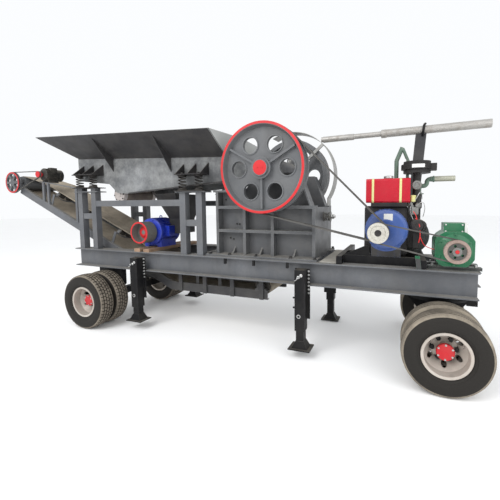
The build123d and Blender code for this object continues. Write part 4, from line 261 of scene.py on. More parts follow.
def turned(name: str, rings: Profile, sides: int = 48, loop: bool = False) -> Piece:
    """A round piece grown ring by ring about +Z.

    Args:
        name: Name of the piece.
        rings: Its profile, in order along the outline.
        sides: Number of sides.
        loop: The outline closes on itself, as a tyre's does; otherwise both ends are capped.

    Returns:
        The piece, about the origin.
    """
    clear()
    bpy.ops.mesh.primitive_circle_add(vertices=sides, radius=rings[0][0], fill_type="NOTHING", location=(0, 0, 0))
    piece = bpy.context.object
    piece.name = name
    bpy.ops.object.mode_set(mode="EDIT")
    bpy.ops.mesh.select_mode(type="VERT")
    bpy.ops.mesh.select_all(action="SELECT")
    bpy.ops.transform.translate(value=(0, 0, rings[0][1]))
    if not loop:
        bpy.ops.mesh.edge_face_add()
    path = list(rings) + ([rings[0]] if loop else [])
    for (radius, height), (next_radius, next_height) in zip(path[:-1], path[1:]):
        bpy.ops.mesh.extrude_region_move(TRANSFORM_OT_translate={"value": (0, 0, next_height - height)})
        share = next_radius / radius
        bpy.ops.transform.resize(value=(share, share, 1.0), center_override=(0, 0, next_height))
    bpy.ops.mesh.select_all(action="SELECT")
    bpy.ops.mesh.remove_doubles(threshold=MERGE)
    if not loop:
        bpy.ops.mesh.fill_holes(sides=0)
        bpy.ops.mesh.select_all(action="SELECT")
    bpy.ops.mesh.normals_make_consistent(inside=False)
    leave()
    return piece


def plate(name: str, outline: Profile, thick: float, edge: float = 0.001) -> Piece:
    """A flat plate cut to an outline in its own XY plane, with its lower face at zero.

    Args:
        name: Name of the piece.
        outline: The corners in order.
        thick: Thickness along +Z.
        edge: Width of the eased edges.

    Returns:
        The piece, about the origin.
    """
    clear()
    bpy.ops.mesh.primitive_circle_add(vertices=len(outline), radius=1.0, fill_type="NGON", location=(0, 0, 0))
    piece = bpy.context.object
    piece.name = name
    for vertex, (x, y) in zip(piece.data.vertices, outline):
        vertex.co = (x, y, 0.0)
    edit()
    bpy.ops.mesh.extrude_region_move(TRANSFORM_OT_translate={"value": (0, 0, thick)})
    bpy.ops.mesh.select_all(action="SELECT")
    bpy.ops.mesh.normals_make_consistent(inside=False)
    if edge > 0:
        bpy.ops.mesh.bevel(offset=edge, segments=1, affect="EDGES", clamp_overlap=True)
    leave()
    return piece


def bent_rod(name: str, points: Iterable[Sequence[float]], radius: float, sides: int = 10, bend: bool = True) -> Piece:
    """A round rod, pipe or wire that follows points.

    Args:
        name: Name of the piece.
        points: The line, in the frame.
        radius: Half its thickness.
        sides: Sides of its section.
        bend: The line is one smooth curve; otherwise it has straight runs.

    Returns:
        The piece as a mesh.
    """
    clear()
    curve = bpy.data.curves.new(name, "CURVE")
    curve.dimensions = "3D"
    curve.bevel_depth = radius
    curve.bevel_resolution = max(1, sides // 4)
    curve.resolution_u = 8
    curve.use_fill_caps = True
    spline = curve.splines.new("NURBS" if bend else "POLY")
    line = list(points)
    spline.points.add(len(line) - 1)
    for node, point in zip(spline.points, line):
        node.co = (*point, 1.0)
    if bend:
        spline.order_u = 3
        spline.use_endpoint_u = True
    piece = bpy.data.objects.new(name, curve)
    bpy.context.collection.objects.link(piece)
    pick(piece)
    bpy.ops.object.convert(target="MESH")
    return smooth(bpy.context.object, 60.0)


def coil(radius: float, wire: float, turns: float, height: float, ends: float = 0.75, steps: int = 12) -> Piece:
    """A coil spring that stands on z = 0, with closed ends.

    Args:
        radius: Radius to the middle of its wire.
        wire: Half the thickness of its wire.
        turns: Number of open turns.
        height: Height over all.
        ends: Closed turns at each end.
        steps: Points in a turn.

    Returns:
        The spring, about the origin.
    """
    points = []
    for index in range(int((turns + 2 * ends) * steps) + 1):
        turn = index / steps
        share = min(max((turn - ends) / turns, 0.0), 1.0)
        angle = 2 * math.pi * turn
        points.append((radius * math.cos(angle), radius * math.sin(angle), wire + (height - 2 * wire) * share))
    return bent_rod("coil", points, wire, 8)


def join(name: str, *pieces: Piece) -> Piece:
    """Join pieces into one, keeping each one's finish.

    Args:
        name: Name of the joined piece.
        pieces: The pieces; the first one takes up the others.

    Returns:
        The joined piece.
    """
    pick(*pieces)
    if len(pieces) > 1:
        bpy.ops.object.join()
    pieces[0].name = name
    return pieces[0]


def copies(name: str, model: Piece, matrices: Iterable[Matrix]) -> Piece:
    """Repeat a small piece, each copy with its own mesh, and join the copies into one piece.

    Args:
        name: Name of the joined piece.
        model: The piece to repeat; it is taken away afterwards.
        matrices: Where each copy goes.

    Returns:
        The joined piece.
    """
    made: list[Piece] = []
    for matrix in matrices:
        item = model.copy()
        item.data = model.data.copy()
        item.data.transform(matrix)
        bpy.context.collection.objects.link(item)
        made.append(item)
    bpy.data.objects.remove(model)
    return join(name, *made)


def bolts(name: str, points: Iterable[Vector], size: float, facing: Facing, proud: float = 0.65) -> Piece:
    """A set of hexagon heads on round washers that look one way.

    Args:
        name: Name of the joined piece.
        points: The point of each head on the face that it holds.
        size: Width of a head across its corners.
        facing: The way the heads look.
        proud: Height of a head as a share of its width.

    Returns:
        The joined piece.
    """
    half, base = size / 2, size * 0.12
    top = base + size * proud
    head = turned("head", [(half, base - 0.0005), (half, top - size * 0.07), (half * 0.84, top)], sides=6)
    disc = turned("washer", [(half * 1.3, -0.0005), (half * 1.3, base * 0.8), (half * 1.22, base)], sides=14)
    places = [spot(point, facing) @ Matrix.Rotation(0.35 * (index % 7), 4, "Z") for index, point in enumerate(points)]
    return copies(name, join("bolt", head, disc), places)


def circle_points(centre: Vector, radius: float, count: int, start: float = 0.0) -> list[Vector]:
    """Points spread evenly round a circle in the XZ plane, from a start angle in radians."""
    angles = [start + 2 * math.pi * index / count for index in range(count)]
    return [centre + Vector((radius * math.cos(angle), 0.0, radius * math.sin(angle))) for angle in angles]


def rounded(x0: float, x1: float, y0: float, y1: float, corner: float, steps: int = 5) -> list[Pair]:
    """Outline of a rectangle with round corners.

    Args:
        x0: Its left side.
        x1: Its right side.
        y0: Its lower side.
        y1: Its upper side.
        corner: Radius of the corners.
        steps: Runs in each corner.

    Returns:
        The points in order.
    """
    points = []
    for cx, cy, start in ((x1 - corner, y1 - corner, 0.0), (x0 + corner, y1 - corner, 0.5),
                          (x0 + corner, y0 + corner, 1.0), (x1 - corner, y0 + corner, 1.5)):
        for step in range(steps + 1):
            angle = math.pi * (start + 0.5 * step / steps)
            points.append((cx + corner * math.cos(angle), cy + corner * math.sin(angle)))
    return points


def keep_sector(piece: Piece, start: float, end: float) -> None:
    """Keep only the faces of a round piece between two angles about Z, and close its ends.

    Args:
        piece: The piece, about the origin.
        start: First angle in radians.
        end: Last angle in radians.
    """
    choose(piece, lambda polygon: not start < math.atan2(polygon.center.y, polygon.center.x) < end)
    bpy.ops.mesh.delete(type="FACE")
    bpy.ops.mesh.select_all(action="SELECT")
    bpy.ops.mesh.fill_holes(sides=0)
    bpy.ops.mesh.select_all(action="SELECT")
    bpy.ops.mesh.normals_make_consistent(inside=False)
    leave()


# ---- Finishes


class Graph:
    """A material's node sheet, with one short call for each kind of node that the finishes use."""

    def __init__(self, name: str) -> None:
        """Start an empty material.

        Args:
            name: Name of the material.
        """
        self.material = bpy.data.materials.new(name)
        self.material.use_nodes = True
        self.tree = self.material.node_tree
        self.tree.nodes.clear()
        output = self.tree.nodes.new("ShaderNodeOutputMaterial")
        self.shader = self.tree.nodes.new("ShaderNodeBsdfPrincipled")
        self.tree.links.new(self.shader.outputs["BSDF"], output.inputs["Surface"])
        self.coords = self.tree.nodes.new("ShaderNodeTexCoord")

    def node(self, kind: str, **inputs: Socket | float | Triple) -> bpy.types.Node:
        """Add a node.

        Args:
            kind: Blender's name for it, without its first part.
            inputs: A socket or a value for each input, by its name with underscores for spaces.

        Returns:
            The node.
        """
        made = self.tree.nodes.new("ShaderNode" + kind)
        for name, value in inputs.items():
            self.feed(made.inputs[name.replace("_", " ")], value)
        return made

    def feed(self, target: Socket, value: Socket | float | Triple) -> None:
        """Give an input a socket or a value.

        Args:
            target: The input.
            value: The socket to link to it, or its own value.
        """
        if isinstance(value, bpy.types.NodeSocket):
            self.tree.links.new(value, target)
        else:
            target.default_value = value

    def noise(self, scale: float, detail: float = 4.0, stretch: Triple = UNIT, rough: float = 0.55) -> Socket:
        """A cloudy pattern.

        Args:
            scale: Features to the metre.
            detail: Octaves.
            stretch: Scale along each axis.
            rough: How strong the small octaves are.

        Returns:
            The pattern's factor.
        """
        mapping = self.node("Mapping", Scale=stretch, Vector=self.coords.outputs["Object"])
        return self.node("TexNoise", Scale=scale, Detail=detail, Roughness=rough,
                         Vector=mapping.outputs["Vector"]).outputs["Fac"]

    def remap(self, value: Socket, low: float, high: float, to_low: float = 0.0, to_high: float = 1.0) -> Socket:
        """Stretch part of a value's range over another, held at its ends.

        Args:
            value: The value.
            low: Start of the part.
            high: End of the part.
            to_low: Result at the start.
            to_high: Result at the end.

        Returns:
            The result.
        """
        node = self.node("MapRange", From_Min=low, From_Max=high, To_Min=to_low, To_Max=to_high, Value=value)
        node.clamp = True
        return node.outputs["Result"]

    def maths(self, kind: str, first: Socket | float, second: Socket | float) -> Socket:
        """Work out one operation on two values.

        Args:
            kind: Blender's name for the operation.
            first: A socket or a number.
            second: A socket or a number.

        Returns:
            The result.
        """
        node = self.node("Math")
        node.operation = kind
        for target, value in zip(node.inputs, (first, second)):
            self.feed(target, value)
        return node.outputs["Value"]

    def blend(self, share: Socket, first: Socket | Triple, second: Socket | Triple) -> Socket:
        """Mix two colours.

        Args:
            share: Share of the second colour.
            first: A socket or a colour.
            second: A socket or a colour.

        Returns:
            The mixed colour.
        """
        node = self.node("Mix", Factor=share)
        node.data_type = "RGBA"
        targets = [socket for socket in node.inputs if socket.type == "RGBA"]
        for target, value in zip(targets, (first, second)):
            self.feed(target, (*value, 1.0) if isinstance(value, tuple) else value)
        return [socket for socket in node.outputs if socket.type == "RGBA"][0]

    def axis(self, index: int, output: str = "Object") -> Socket:
        """One component of the piece's own coordinates or normal."""
        return self.node("SeparateXYZ", Vector=self.coords.outputs[output]).outputs[index]

    def edges(self, width: float) -> Socket:
        """How near a sharp edge a point is.

        Args:
            width: Width of an edge in metres.

        Returns:
            0 on flat faces, rising at edges.
        """
        bevel = self.node("Bevel", Radius=width)
        bevel.samples = 4
        dot = self.node("VectorMath")
        dot.operation = "DOT_PRODUCT"
        self.feed(dot.inputs[0], bevel.outputs["Normal"])
        self.feed(dot.inputs[1], self.node("NewGeometry").outputs["Normal"])
        return self.remap(dot.outputs["Value"], 0.995, 0.86)

    def bump(self, height: Socket, strength: float, distance: float) -> None:
        """Raise the surface by a pattern, with the effect's strength and its real height in metres."""
        node = self.node("Bump", Strength=strength, Distance=distance, Height=height)
        self.feed(self.shader.inputs["Normal"], node.outputs["Normal"])

    def surface(self, colour: Socket, rough: Socket) -> None:
        """Set the colour and the roughness of the surface."""
        self.feed(self.shader.inputs["Base Color"], colour)
        self.feed(self.shader.inputs["Roughness"], rough)

    def setting(self, name: str, value: float) -> None:
        """Set one uniform value on the shader itself."""
        self.shader.inputs[name].default_value = value


def shade(colour: Triple, share: float) -> Triple:
    """A colour made darker or lighter by a share."""
    return tuple(min(1.0, channel * share) for channel in colour)


@dataclass(frozen=True)
class Zone:
    """A part of a piece that has another colour.

    Attributes:
        colour: The colour there.
        below: Height under which it lies, or None.
        axis: Place along the plant and height of a cross axis, or None.
        within: Distance from that axis inside which it lies, or None.
        beyond: Distance from that axis outside which it lies, or None.
        looking: Axis number of the way that its faces look, or None.
    """

    colour: Triple
    below: float | None = None
    axis: Pair | None = None
    within: float | None = None
    beyond: float | None = None
    looking: int | None = None

    def lay(self, sheet: Graph, colour: Socket) -> Socket:
        """Put the zone's colour over a colour, where all its conditions hold.

        Args:
            sheet: The node sheet.
            colour: The colour under it.

        Returns:
            The mixed colour.
        """
        soft = 0.001
        shares: list[Socket] = []
        if self.below is not None:
            shares.append(sheet.remap(sheet.axis(2), self.below + soft, self.below - soft))
        if self.axis is not None:
            across = sheet.maths("SUBTRACT", sheet.axis(0), RAIL_MID_X + self.axis[0])
            up = sheet.maths("SUBTRACT", sheet.axis(2), self.axis[1])
            square = sheet.maths("ADD", sheet.maths("MULTIPLY", across, across), sheet.maths("MULTIPLY", up, up))
            gap = sheet.maths("POWER", square, 0.5)
            if self.within is not None:
                shares.append(sheet.remap(gap, self.within + soft, self.within - soft))
            if self.beyond is not None:
                shares.append(sheet.remap(gap, self.beyond - soft, self.beyond + soft))
        if self.looking is not None:
            shares.append(sheet.remap(sheet.axis(self.looking, "Normal"), 0.80, 0.92))
        share = shares[0]
        for other in shares[1:]:
            share = sheet.maths("MULTIPLY", share, other)
        return sheet.blend(share, colour, self.colour)


@dataclass(frozen=True)
class Paint:
    """Shop paint on steel, with cloudy tone, worn edges, runs of grime and settled dust.

    Attributes:
        name: Name of the finish.
        base: Its colour.
        tone: How much darker its cloudy patches are, as a share.
        worn: Colour of worn edges.
        wear: How much of the edges is worn.
        dust: Colour of the dust.
        dusty: How much dust lies on upward faces.
        film: How much dust clings to all faces.
        gloss: Roughness of the clean paint.
        metallic: Metallic share of the finish.
        grime: Strength of the dark runs.
        edge_width: Width of the worn edges.
        static: The piece never turns, so dust may lie on its upward faces.
        specular: Strength of its reflections.
        zones: Parts of it that have another colour.
    """

    name: str
    base: Triple
    tone: float = 0.25
    worn: Triple = (0.42, 0.42, 0.42)
    wear: float = 0.6
    dust: Triple = (0.36, 0.33, 0.28)
    dusty: float = 0.5
    film: float = 0.15
    gloss: float = 0.42
    metallic: float = 0.0
    grime: float = 0.25
    edge_width: float = 0.006
    static: bool = True
    specular: float = 0.35
    zones: tuple[Zone, ...] = ()

    def make(self) -> bpy.types.Material:
        """Build the material."""
        sheet = Graph(self.name)
        dark = shade(self.base, 1.0 - self.tone)
        light = shade(self.base, 1.0 + 0.6 * self.tone)
        colour = sheet.blend(sheet.remap(sheet.noise(1.7, 5.0), 0.32, 0.68), dark, light)
        colour = sheet.blend(sheet.remap(sheet.noise(38.0, 3.0), 0.35, 0.75, 0.0, 0.35), colour, dark)
        for zone in self.zones:
            colour = zone.lay(sheet, colour)
        runs = sheet.remap(sheet.noise(2.2, 5.0, (5.0, 5.0, 0.5)), 0.55, 0.78, 0.0, self.grime)
        colour = sheet.blend(runs, colour, shade(self.base, 0.4))
        film = sheet.remap(sheet.noise(3.1, 6.0, rough=0.7), 0.42, 0.75, 0.0, self.film)
        colour = sheet.blend(film, colour, self.dust)
        dusting = film
        if self.static:
            upward = sheet.remap(sheet.axis(2, "Normal"), 0.35, 0.95)
            patch = sheet.remap(sheet.noise(5.0, 6.0, rough=0.7), 0.28, 0.62, 0.25, 1.0)
            settled = sheet.maths("MULTIPLY", sheet.maths("MULTIPLY", upward, patch), self.dusty)
            colour = sheet.blend(settled, colour, self.dust)
            dusting = sheet.maths("MAXIMUM", settled, film)
        if self.wear > 0:
            chip = sheet.remap(sheet.noise(24.0, 5.0, rough=0.7), 0.36, 0.6, 0.25, 1.0)
            worn = sheet.maths("MULTIPLY", sheet.maths("MULTIPLY", sheet.edges(self.edge_width), chip), self.wear)
            colour = sheet.blend(worn, colour, self.worn)
        base_rough = sheet.remap(sheet.noise(6.0, 4.0), 0.3, 0.7, self.gloss - 0.08, self.gloss + 0.1)
        sheet.surface(colour, sheet.maths("MINIMUM", sheet.maths("ADD", base_rough, dusting), 0.95))
        sheet.setting("Metallic", self.metallic)
        sheet.setting("Specular IOR Level", self.specular)
        sheet.bump(sheet.noise(90.0, 4.0), 0.22, 0.0012)
        return sheet.material


@dataclass(frozen=True)
class Metal:
    """Bare or machined metal with turning marks, stains and dull patches.

    Attributes:
        name: Name of the finish.
        base: Its colour.
        stain: Colour of its stains.
        stained: How much of it is stained.
        gloss: Roughness of the clean metal.
        metallic: Metallic share.
        grain: Scale of its fine marks along each axis.
        zones: Parts of it that have another colour.
    """

    name: str
    base: Triple
    stain: Triple = (0.16, 0.11, 0.07)
    stained: float = 0.35
    gloss: float = 0.34
    metallic: float = 0.85
    grain: Triple = UNIT
    zones: tuple[Zone, ...] = ()

    def make(self) -> bpy.types.Material:
        """Build the material."""
        sheet = Graph(self.name)
        marks = sheet.noise(70.0, 4.0, self.grain)
        colour = sheet.blend(sheet.remap(marks, 0.3, 0.7), shade(self.base, 0.68), self.base)
        spots = sheet.remap(sheet.noise(7.0, 7.0, rough=0.72), 0.5, 0.72, 0.0, self.stained)
        colour = sheet.blend(spots, colour, self.stain)
        for zone in self.zones:
            colour = zone.lay(sheet, colour)
        sheet.surface(colour, sheet.maths("ADD", sheet.remap(marks, 0.3, 0.7, self.gloss, self.gloss + 0.16),
                                          sheet.maths("MULTIPLY", spots, 0.4)))
        sheet.setting("Metallic", self.metallic)
        sheet.bump(marks, 0.18, 0.0008)
        return sheet.material


@dataclass(frozen=True)
class Rubber:
    """Rubber with clinging dust.

    Attributes:
        name: Name of the finish.
        base: Its colour.
        dust: Colour of the dust.
        dusty: How much of it is dusty.
        scale: Patches to the metre.
        gloss: Roughness of the clean rubber.
    """

    name: str
    base: Triple
    dust: Triple = (0.33, 0.27, 0.20)
    dusty: float = 0.6
    scale: float = 4.0
    gloss: float = 0.62

    def make(self) -> bpy.types.Material:
        """Build the material."""
        sheet = Graph(self.name)
        patches = sheet.remap(sheet.noise(self.scale, 7.0, rough=0.68), 0.3, 0.66, 0.1, self.dusty)
        grit = sheet.remap(sheet.noise(85.0, 4.0), 0.45, 0.7, 0.0, 0.35)
        colour = sheet.blend(patches, self.base, self.dust)
        colour = sheet.blend(sheet.maths("MULTIPLY", grit, patches), colour, shade(self.dust, 1.3))
        sheet.surface(colour, sheet.remap(patches, 0.0, 1.0, self.gloss, 0.96))
        sheet.setting("Specular IOR Level", 0.16)
        sheet.bump(sheet.noise(60.0, 5.0), 0.35, 0.0015)
        return sheet.material


@dataclass(frozen=True)
class Timber:
    """Rough sawn boards with grain along the plant's width.

    Attributes:
        name: Name of the finish.
        pale: Colour of the light grain.
        dark: Colour of the dark grain.
    """

    name: str
    pale: Triple
    dark: Triple

    def make(self) -> bpy.types.Material:
        """Build the material."""
        sheet = Graph(self.name)
        grain = sheet.noise(16.0, 6.0, (2.4, 0.16, 2.4), 0.7)
        colour = sheet.blend(sheet.remap(grain, 0.32, 0.64), self.dark, self.pale)
        stain = sheet.remap(sheet.noise(3.0, 5.0), 0.5, 0.75, 0.0, 0.5)
        colour = sheet.blend(stain, colour, shade(self.dark, 0.4))
        sheet.surface(colour, sheet.remap(grain, 0.3, 0.7, 0.7, 0.92))
        sheet.bump(grain, 0.5, 0.002)
        return sheet.material


Finish = Paint | Metal | Rubber | Timber

# Axes of round parts across the plant: place along it and height.
SHAFT_AXIS = (0.561, 2.365)
GEAR_AXIS = (2.062, 1.594)
PULLEY_AXIS = (1.988, 1.577)
GENERATOR_AXIS = (2.774, 1.405)

SLATE = Paint("slate_paint", (0.104, 0.109, 0.119), worn=(0.30, 0.31, 0.32), wear=0.55, dusty=0.42, film=0.1)
# Below 1.165 m the conveyor's slate steel turns near black: painted shade under the frame, not a colour of the steel.
CONVEYOR_SLATE_PAINTED_SHADE = Paint(
    "conveyor_slate_painted_shade", (0.104, 0.109, 0.119), worn=(0.26, 0.27, 0.28), wear=0.5, dusty=0.4, film=0.1,
    zones=(Zone((0.030, 0.030, 0.032), below=1.165),))
CRUSHER_SLATE = Paint(
    "crusher_slate", (0.098, 0.101, 0.107), worn=(0.32, 0.33, 0.33), wear=0.7, dusty=0.42, film=0.12,
    edge_width=0.007)
CHARCOAL = Paint(
    "charcoal_paint", (0.047, 0.046, 0.048), worn=(0.15, 0.15, 0.15), wear=0.4, dusty=0.3, film=0.12, gloss=0.36,
    specular=0.12)
# Faces that look towards +X, beyond 2.45 m from the cross axis, turn pale grey. This is partly a painted highlight
# where the sky lights them and partly dust and wear.
HOPPER_CHARCOAL_DUST_AND_HIGHLIGHT = Paint(
    "hopper_charcoal_dust_and_highlight", (0.040, 0.039, 0.041), worn=(0.15, 0.15, 0.15), wear=0.4, dusty=0.12, film=0.08, gloss=0.4,
    specular=0.2, zones=(Zone((0.40, 0.41, 0.40), looking=0, axis=(-2.9, 2.4), beyond=2.45),))
WEATHERED = Paint(
    "weathered_sheet", (0.145, 0.15, 0.155), tone=0.8, worn=(0.42, 0.43, 0.43), wear=0.4, dusty=0.5, film=0.75,
    dust=(0.36, 0.365, 0.36), gloss=0.5, grime=0.55)
WEATHERED_PALE = Paint("pale_plate", (0.34, 0.33, 0.30), tone=0.3, wear=0.4, dusty=0.5, film=0.4, gloss=0.6)
BLACK = Paint(
    "black_enamel", (0.010, 0.010, 0.011), worn=(0.10, 0.10, 0.10), wear=0.5, dusty=0.35, film=0.06,
    dust=(0.22, 0.2, 0.17), gloss=0.4, grime=0.1, specular=0.12)
POST_DARK = Paint(
    "post_dark", (0.045, 0.045, 0.048), worn=(0.16, 0.16, 0.16), wear=0.5, dusty=0.3, film=0.12, specular=0.12)
SPRING_BLACK = Paint(
    "spring_black", (0.014, 0.013, 0.014), worn=(0.10, 0.09, 0.08), wear=0.6, dusty=0.3, film=0.12, specular=0.12)
SIGNAL_RED = Paint(
    "signal_red", (0.50, 0.013, 0.017), tone=0.12, worn=(0.5, 0.12, 0.1), wear=0.35, dusty=0.1, film=0.05,
    grime=0.12, gloss=0.42, static=False)
TANK_RED = Paint(
    "tank_red", (0.42, 0.004, 0.018), tone=0.12, worn=(0.8, 0.3, 0.3), wear=0.15, dusty=0.08, film=0.04,
    grime=0.1, gloss=0.22, zones=(Zone((0.016, 0.015, 0.016), below=1.917),))
HUB_RED = Paint(
    "hub_red", (0.50, 0.012, 0.018), tone=0.15, wear=0.2, worn=(0.3, 0.1, 0.1), film=0.08, grime=0.15, gloss=0.4,
    static=False)
RIM_CREAM = Paint(
    "rim_cream", (0.52, 0.475, 0.425), tone=0.16, worn=(0.25, 0.2, 0.17), wear=0.6, film=0.6,
    dust=(0.33, 0.27, 0.225), grime=0.35, gloss=0.36, metallic=0.25, static=False)
NUT_BLACK = Paint(
    "nut_black", (0.020, 0.020, 0.021), worn=(0.2, 0.2, 0.2), wear=0.4, film=0.12, specular=0.12, static=False)
CAST_SLATE = Paint(
    "flywheel_slate", (0.104, 0.108, 0.114), worn=(0.3, 0.31, 0.32), wear=0.6, film=0.1, grime=0.2, gloss=0.46,
    static=False)
MOTOR_BLUE = Paint(
    "motor_blue", (0.016, 0.040, 0.40), tone=0.3, worn=(0.3, 0.36, 0.6), wear=0.35, dusty=0.25, film=0.08,
    gloss=0.3)
GEARCASE_BLUE = Paint(
    "gearcase_blue", (0.050, 0.105, 0.33), tone=0.32, worn=(0.3, 0.36, 0.55), wear=0.5, dusty=0.2, film=0.12,
    gloss=0.32, zones=(Zone((0.018, 0.017, 0.018), axis=GEAR_AXIS, beyond=0.2515),))
ENGINE_BLACK = Paint(
    "engine_black", (0.020, 0.019, 0.020), worn=(0.14, 0.13, 0.12), wear=0.5, dusty=0.3, film=0.25,
    dust=(0.14, 0.125, 0.11), gloss=0.42, specular=0.2)
DUSTY_BLACK = Paint(
    "dusty_motor_black", (0.025, 0.024, 0.023), worn=(0.2, 0.18, 0.15), wear=0.5, dusty=0.5, film=0.25,
    specular=0.12)
GENERATOR_GREEN = Paint(
    "generator_green", (0.009, 0.125, 0.052), tone=0.25, worn=(0.2, 0.4, 0.3), wear=0.4, dusty=0.2, film=0.1,
    gloss=0.26, zones=(Zone((0.045, 0.045, 0.045), below=1.222),
                       Zone((0.045, 0.045, 0.045), below=1.30, axis=GENERATOR_AXIS, beyond=0.24)))
PIPE_GREEN = Paint(
    "pipe_green", (0.085, 0.145, 0.110), tone=0.4, worn=(0.3, 0.3, 0.26), wear=0.5, dusty=0.4, film=0.4,
    dust=(0.28, 0.27, 0.23), gloss=0.5)
GUARD_PALE = Paint(
    "guard_pale", (0.27, 0.27, 0.26), tone=0.25, worn=(0.6, 0.6, 0.6), wear=0.3, dusty=0.3, film=0.35,
    metallic=0.3, gloss=0.4)
MESH_GREY = Paint("mesh_grey", (0.12, 0.125, 0.13), worn=(0.3, 0.3, 0.3), wear=0.5, film=0.3, gloss=0.5)
DUSTY_BROWN = Paint(
    "dusty_brown_steel", (0.13, 0.10, 0.085), tone=0.4, worn=(0.3, 0.27, 0.24), wear=0.4, dusty=0.6, film=0.5,
    gloss=0.6)
PLATE_PALE = Paint("bare_plate", (0.62, 0.62, 0.60), tone=0.12, wear=0.2, film=0.15, gloss=0.4, metallic=0.2)
SILVER_PAINT = Paint(
    "silver_paint", (0.62, 0.58, 0.56), tone=0.18, worn=(0.3, 0.24, 0.2), wear=0.4, dusty=0.3, film=0.35,
    dust=(0.4, 0.3, 0.26), gloss=0.4, metallic=0.2)
STRAP_YELLOW = Paint("strap_yellow", (0.60, 0.58, 0.24), tone=0.2, wear=0.1, film=0.15, gloss=0.55)
WIRE_RED = Paint("wire_red", (0.70, 0.03, 0.03), tone=0.1, wear=0.0, film=0.05, gloss=0.4)
WIRE_BLACK = Paint("wire_black", (0.02, 0.02, 0.02), tone=0.1, wear=0.0, film=0.15, gloss=0.5, specular=0.12)
GUSSET_DARK = Paint(
    "gusset_dark", (0.026, 0.025, 0.027), worn=(0.12, 0.12, 0.12), wear=0.4, dusty=0.3, film=0.1, specular=0.12)
PULLEY_PALE = Metal("pulley_pale", (0.56, 0.54, 0.48), stained=0.25, gloss=0.4, metallic=0.3)
PULLEY_GREY = Metal("pulley_grey", (0.20, 0.20, 0.19), stained=0.3, gloss=0.42, metallic=0.4)
ROSY_STEEL = Metal(
    "rosy_steel", (0.36, 0.27, 0.235), stained=0.4, gloss=0.45, metallic=0.4,
    zones=(Zone((0.075, 0.075, 0.068), axis=GENERATOR_AXIS, within=0.088),))
SILVER = Metal("silver_steel", (0.58, 0.58, 0.57), stained=0.3, gloss=0.28)
POLE_METAL = Metal(
    "pole_metal", (0.44, 0.425, 0.40), stain=(0.2, 0.16, 0.12), stained=0.6, gloss=0.38, metallic=0.45,
    grain=(0.1, 1.0, 1.0))
SHAFT_STEEL = Metal("shaft_steel", (0.45, 0.45, 0.45), stained=0.35, gloss=0.3)
JAW_STEEL = Metal("jaw_steel", (0.20, 0.19, 0.18), stain=(0.2, 0.12, 0.07), stained=0.6, gloss=0.5)
SILENCER_METAL = Metal(
    "silencer_metal", (0.42, 0.42, 0.34), stain=(0.24, 0.2, 0.12), stained=0.6, gloss=0.35, metallic=0.5)
TYRE_SIDE = Rubber("tyre_sidewall", (0.012, 0.0115, 0.011), dusty=0.10, dust=(0.10, 0.085, 0.07), scale=2.4)
TYRE_TREAD = Rubber("tyre_tread", (0.075, 0.065, 0.054), dusty=0.8, dust=(0.26, 0.225, 0.18), scale=8.0)
TYRE_RIBS = Rubber("tyre_ribs", (0.11, 0.095, 0.078), dusty=0.85, dust=(0.30, 0.26, 0.205), scale=6.0)
BELT_TOP = Rubber("belt_top", (0.17, 0.145, 0.115), dusty=0.95, dust=(0.36, 0.315, 0.25), scale=2.6, gloss=0.8)
V_BELT = Rubber("v_belt_rubber", (0.04, 0.038, 0.036), dusty=0.6, dust=(0.15, 0.145, 0.135), scale=5.0)
CLEANER_BLACK = Rubber("cleaner_black", (0.012, 0.012, 0.013), dusty=0.15, dust=(0.12, 0.11, 0.10), gloss=0.4)
BOARDS = Timber("rough_boards", (0.40, 0.27, 0.18), (0.20, 0.12, 0.075))

_made: dict[str, bpy.types.Material] = {}


def coat(piece: Piece, *finishes: Finish) -> None:
    """Give a piece its finishes, each of which is made once.

    Args:
        piece: The piece.
        finishes: The finish that covers it, and any more for the faces that are given their index.
    """
    piece.data.materials.clear()
    for finish in finishes:
        if finish.name not in _made:
            _made[finish.name] = finish.make()
        piece.data.materials.append(_made[finish.name])


def coat_nodes(finish: Finish, *names: str) -> None:
    """Give solids of the frame a finish.

    Args:
        finish: The finish.
        names: Names of the solids.
    """
    for name in names:
        coat(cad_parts[name], finish)
        log.info("solid %s takes %s", name, finish.name)


def fit(piece: Piece, body: Body | str, slot: Slot, finish: Finish | None, *stands_for: str) -> None:
    """Finish a piece and let it ride on its body.

    Args:
        piece: The piece, in its place.
        body: The body that it moves with.
        slot: The record's material slot; not used.
        finish: Its finish, or None where its parts already have theirs.
        stands_for: Solids of the frame that it replaces.
    """
    if finish is not None:
        coat(piece, finish)
    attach(piece, body.value if isinstance(body, Body) else body)
    if stands_for:
        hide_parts(*stands_for)
    log.info("piece %s: %d faces", piece.name, len(piece.data.polygons))


def fit_round(name: str, rings: Profile, sides: int, where: Matrix, body: Body | str, slot: Slot,
              finish: Finish, loop: bool = False) -> None:
    """Make a round piece as turned() does, put it where it goes and fit it."""
    fit(smooth(settle(turned(name, rings, sides, loop), where)), body, slot, finish)


def spread(name: str, model: Piece, centre: Vector, axis: str, count: int, *gaps: Pair) -> Piece:
    """Repeat a small piece round an axis, leaving gaps.

    Args:
        name: Name of the joined piece.
        model: The piece to repeat, about the origin.
        centre: A point of the axis.
        axis: "Y" or "Z".
        count: Copies in a full turn.
        gaps: Pairs of angles in degrees between which there are none.

    Returns:
        The joined piece.
    """
    angles = [360 * index / count for index in range(count)]
    kept = [angle for angle in angles if not any(low < angle < high for low, high in gaps)]
    turns = [Matrix.Rotation(math.radians(angle), 4, axis) for angle in kept]
    return copies(name, model, [Matrix.Translation(centre) @ turn for turn in turns])


# ---- Running gear


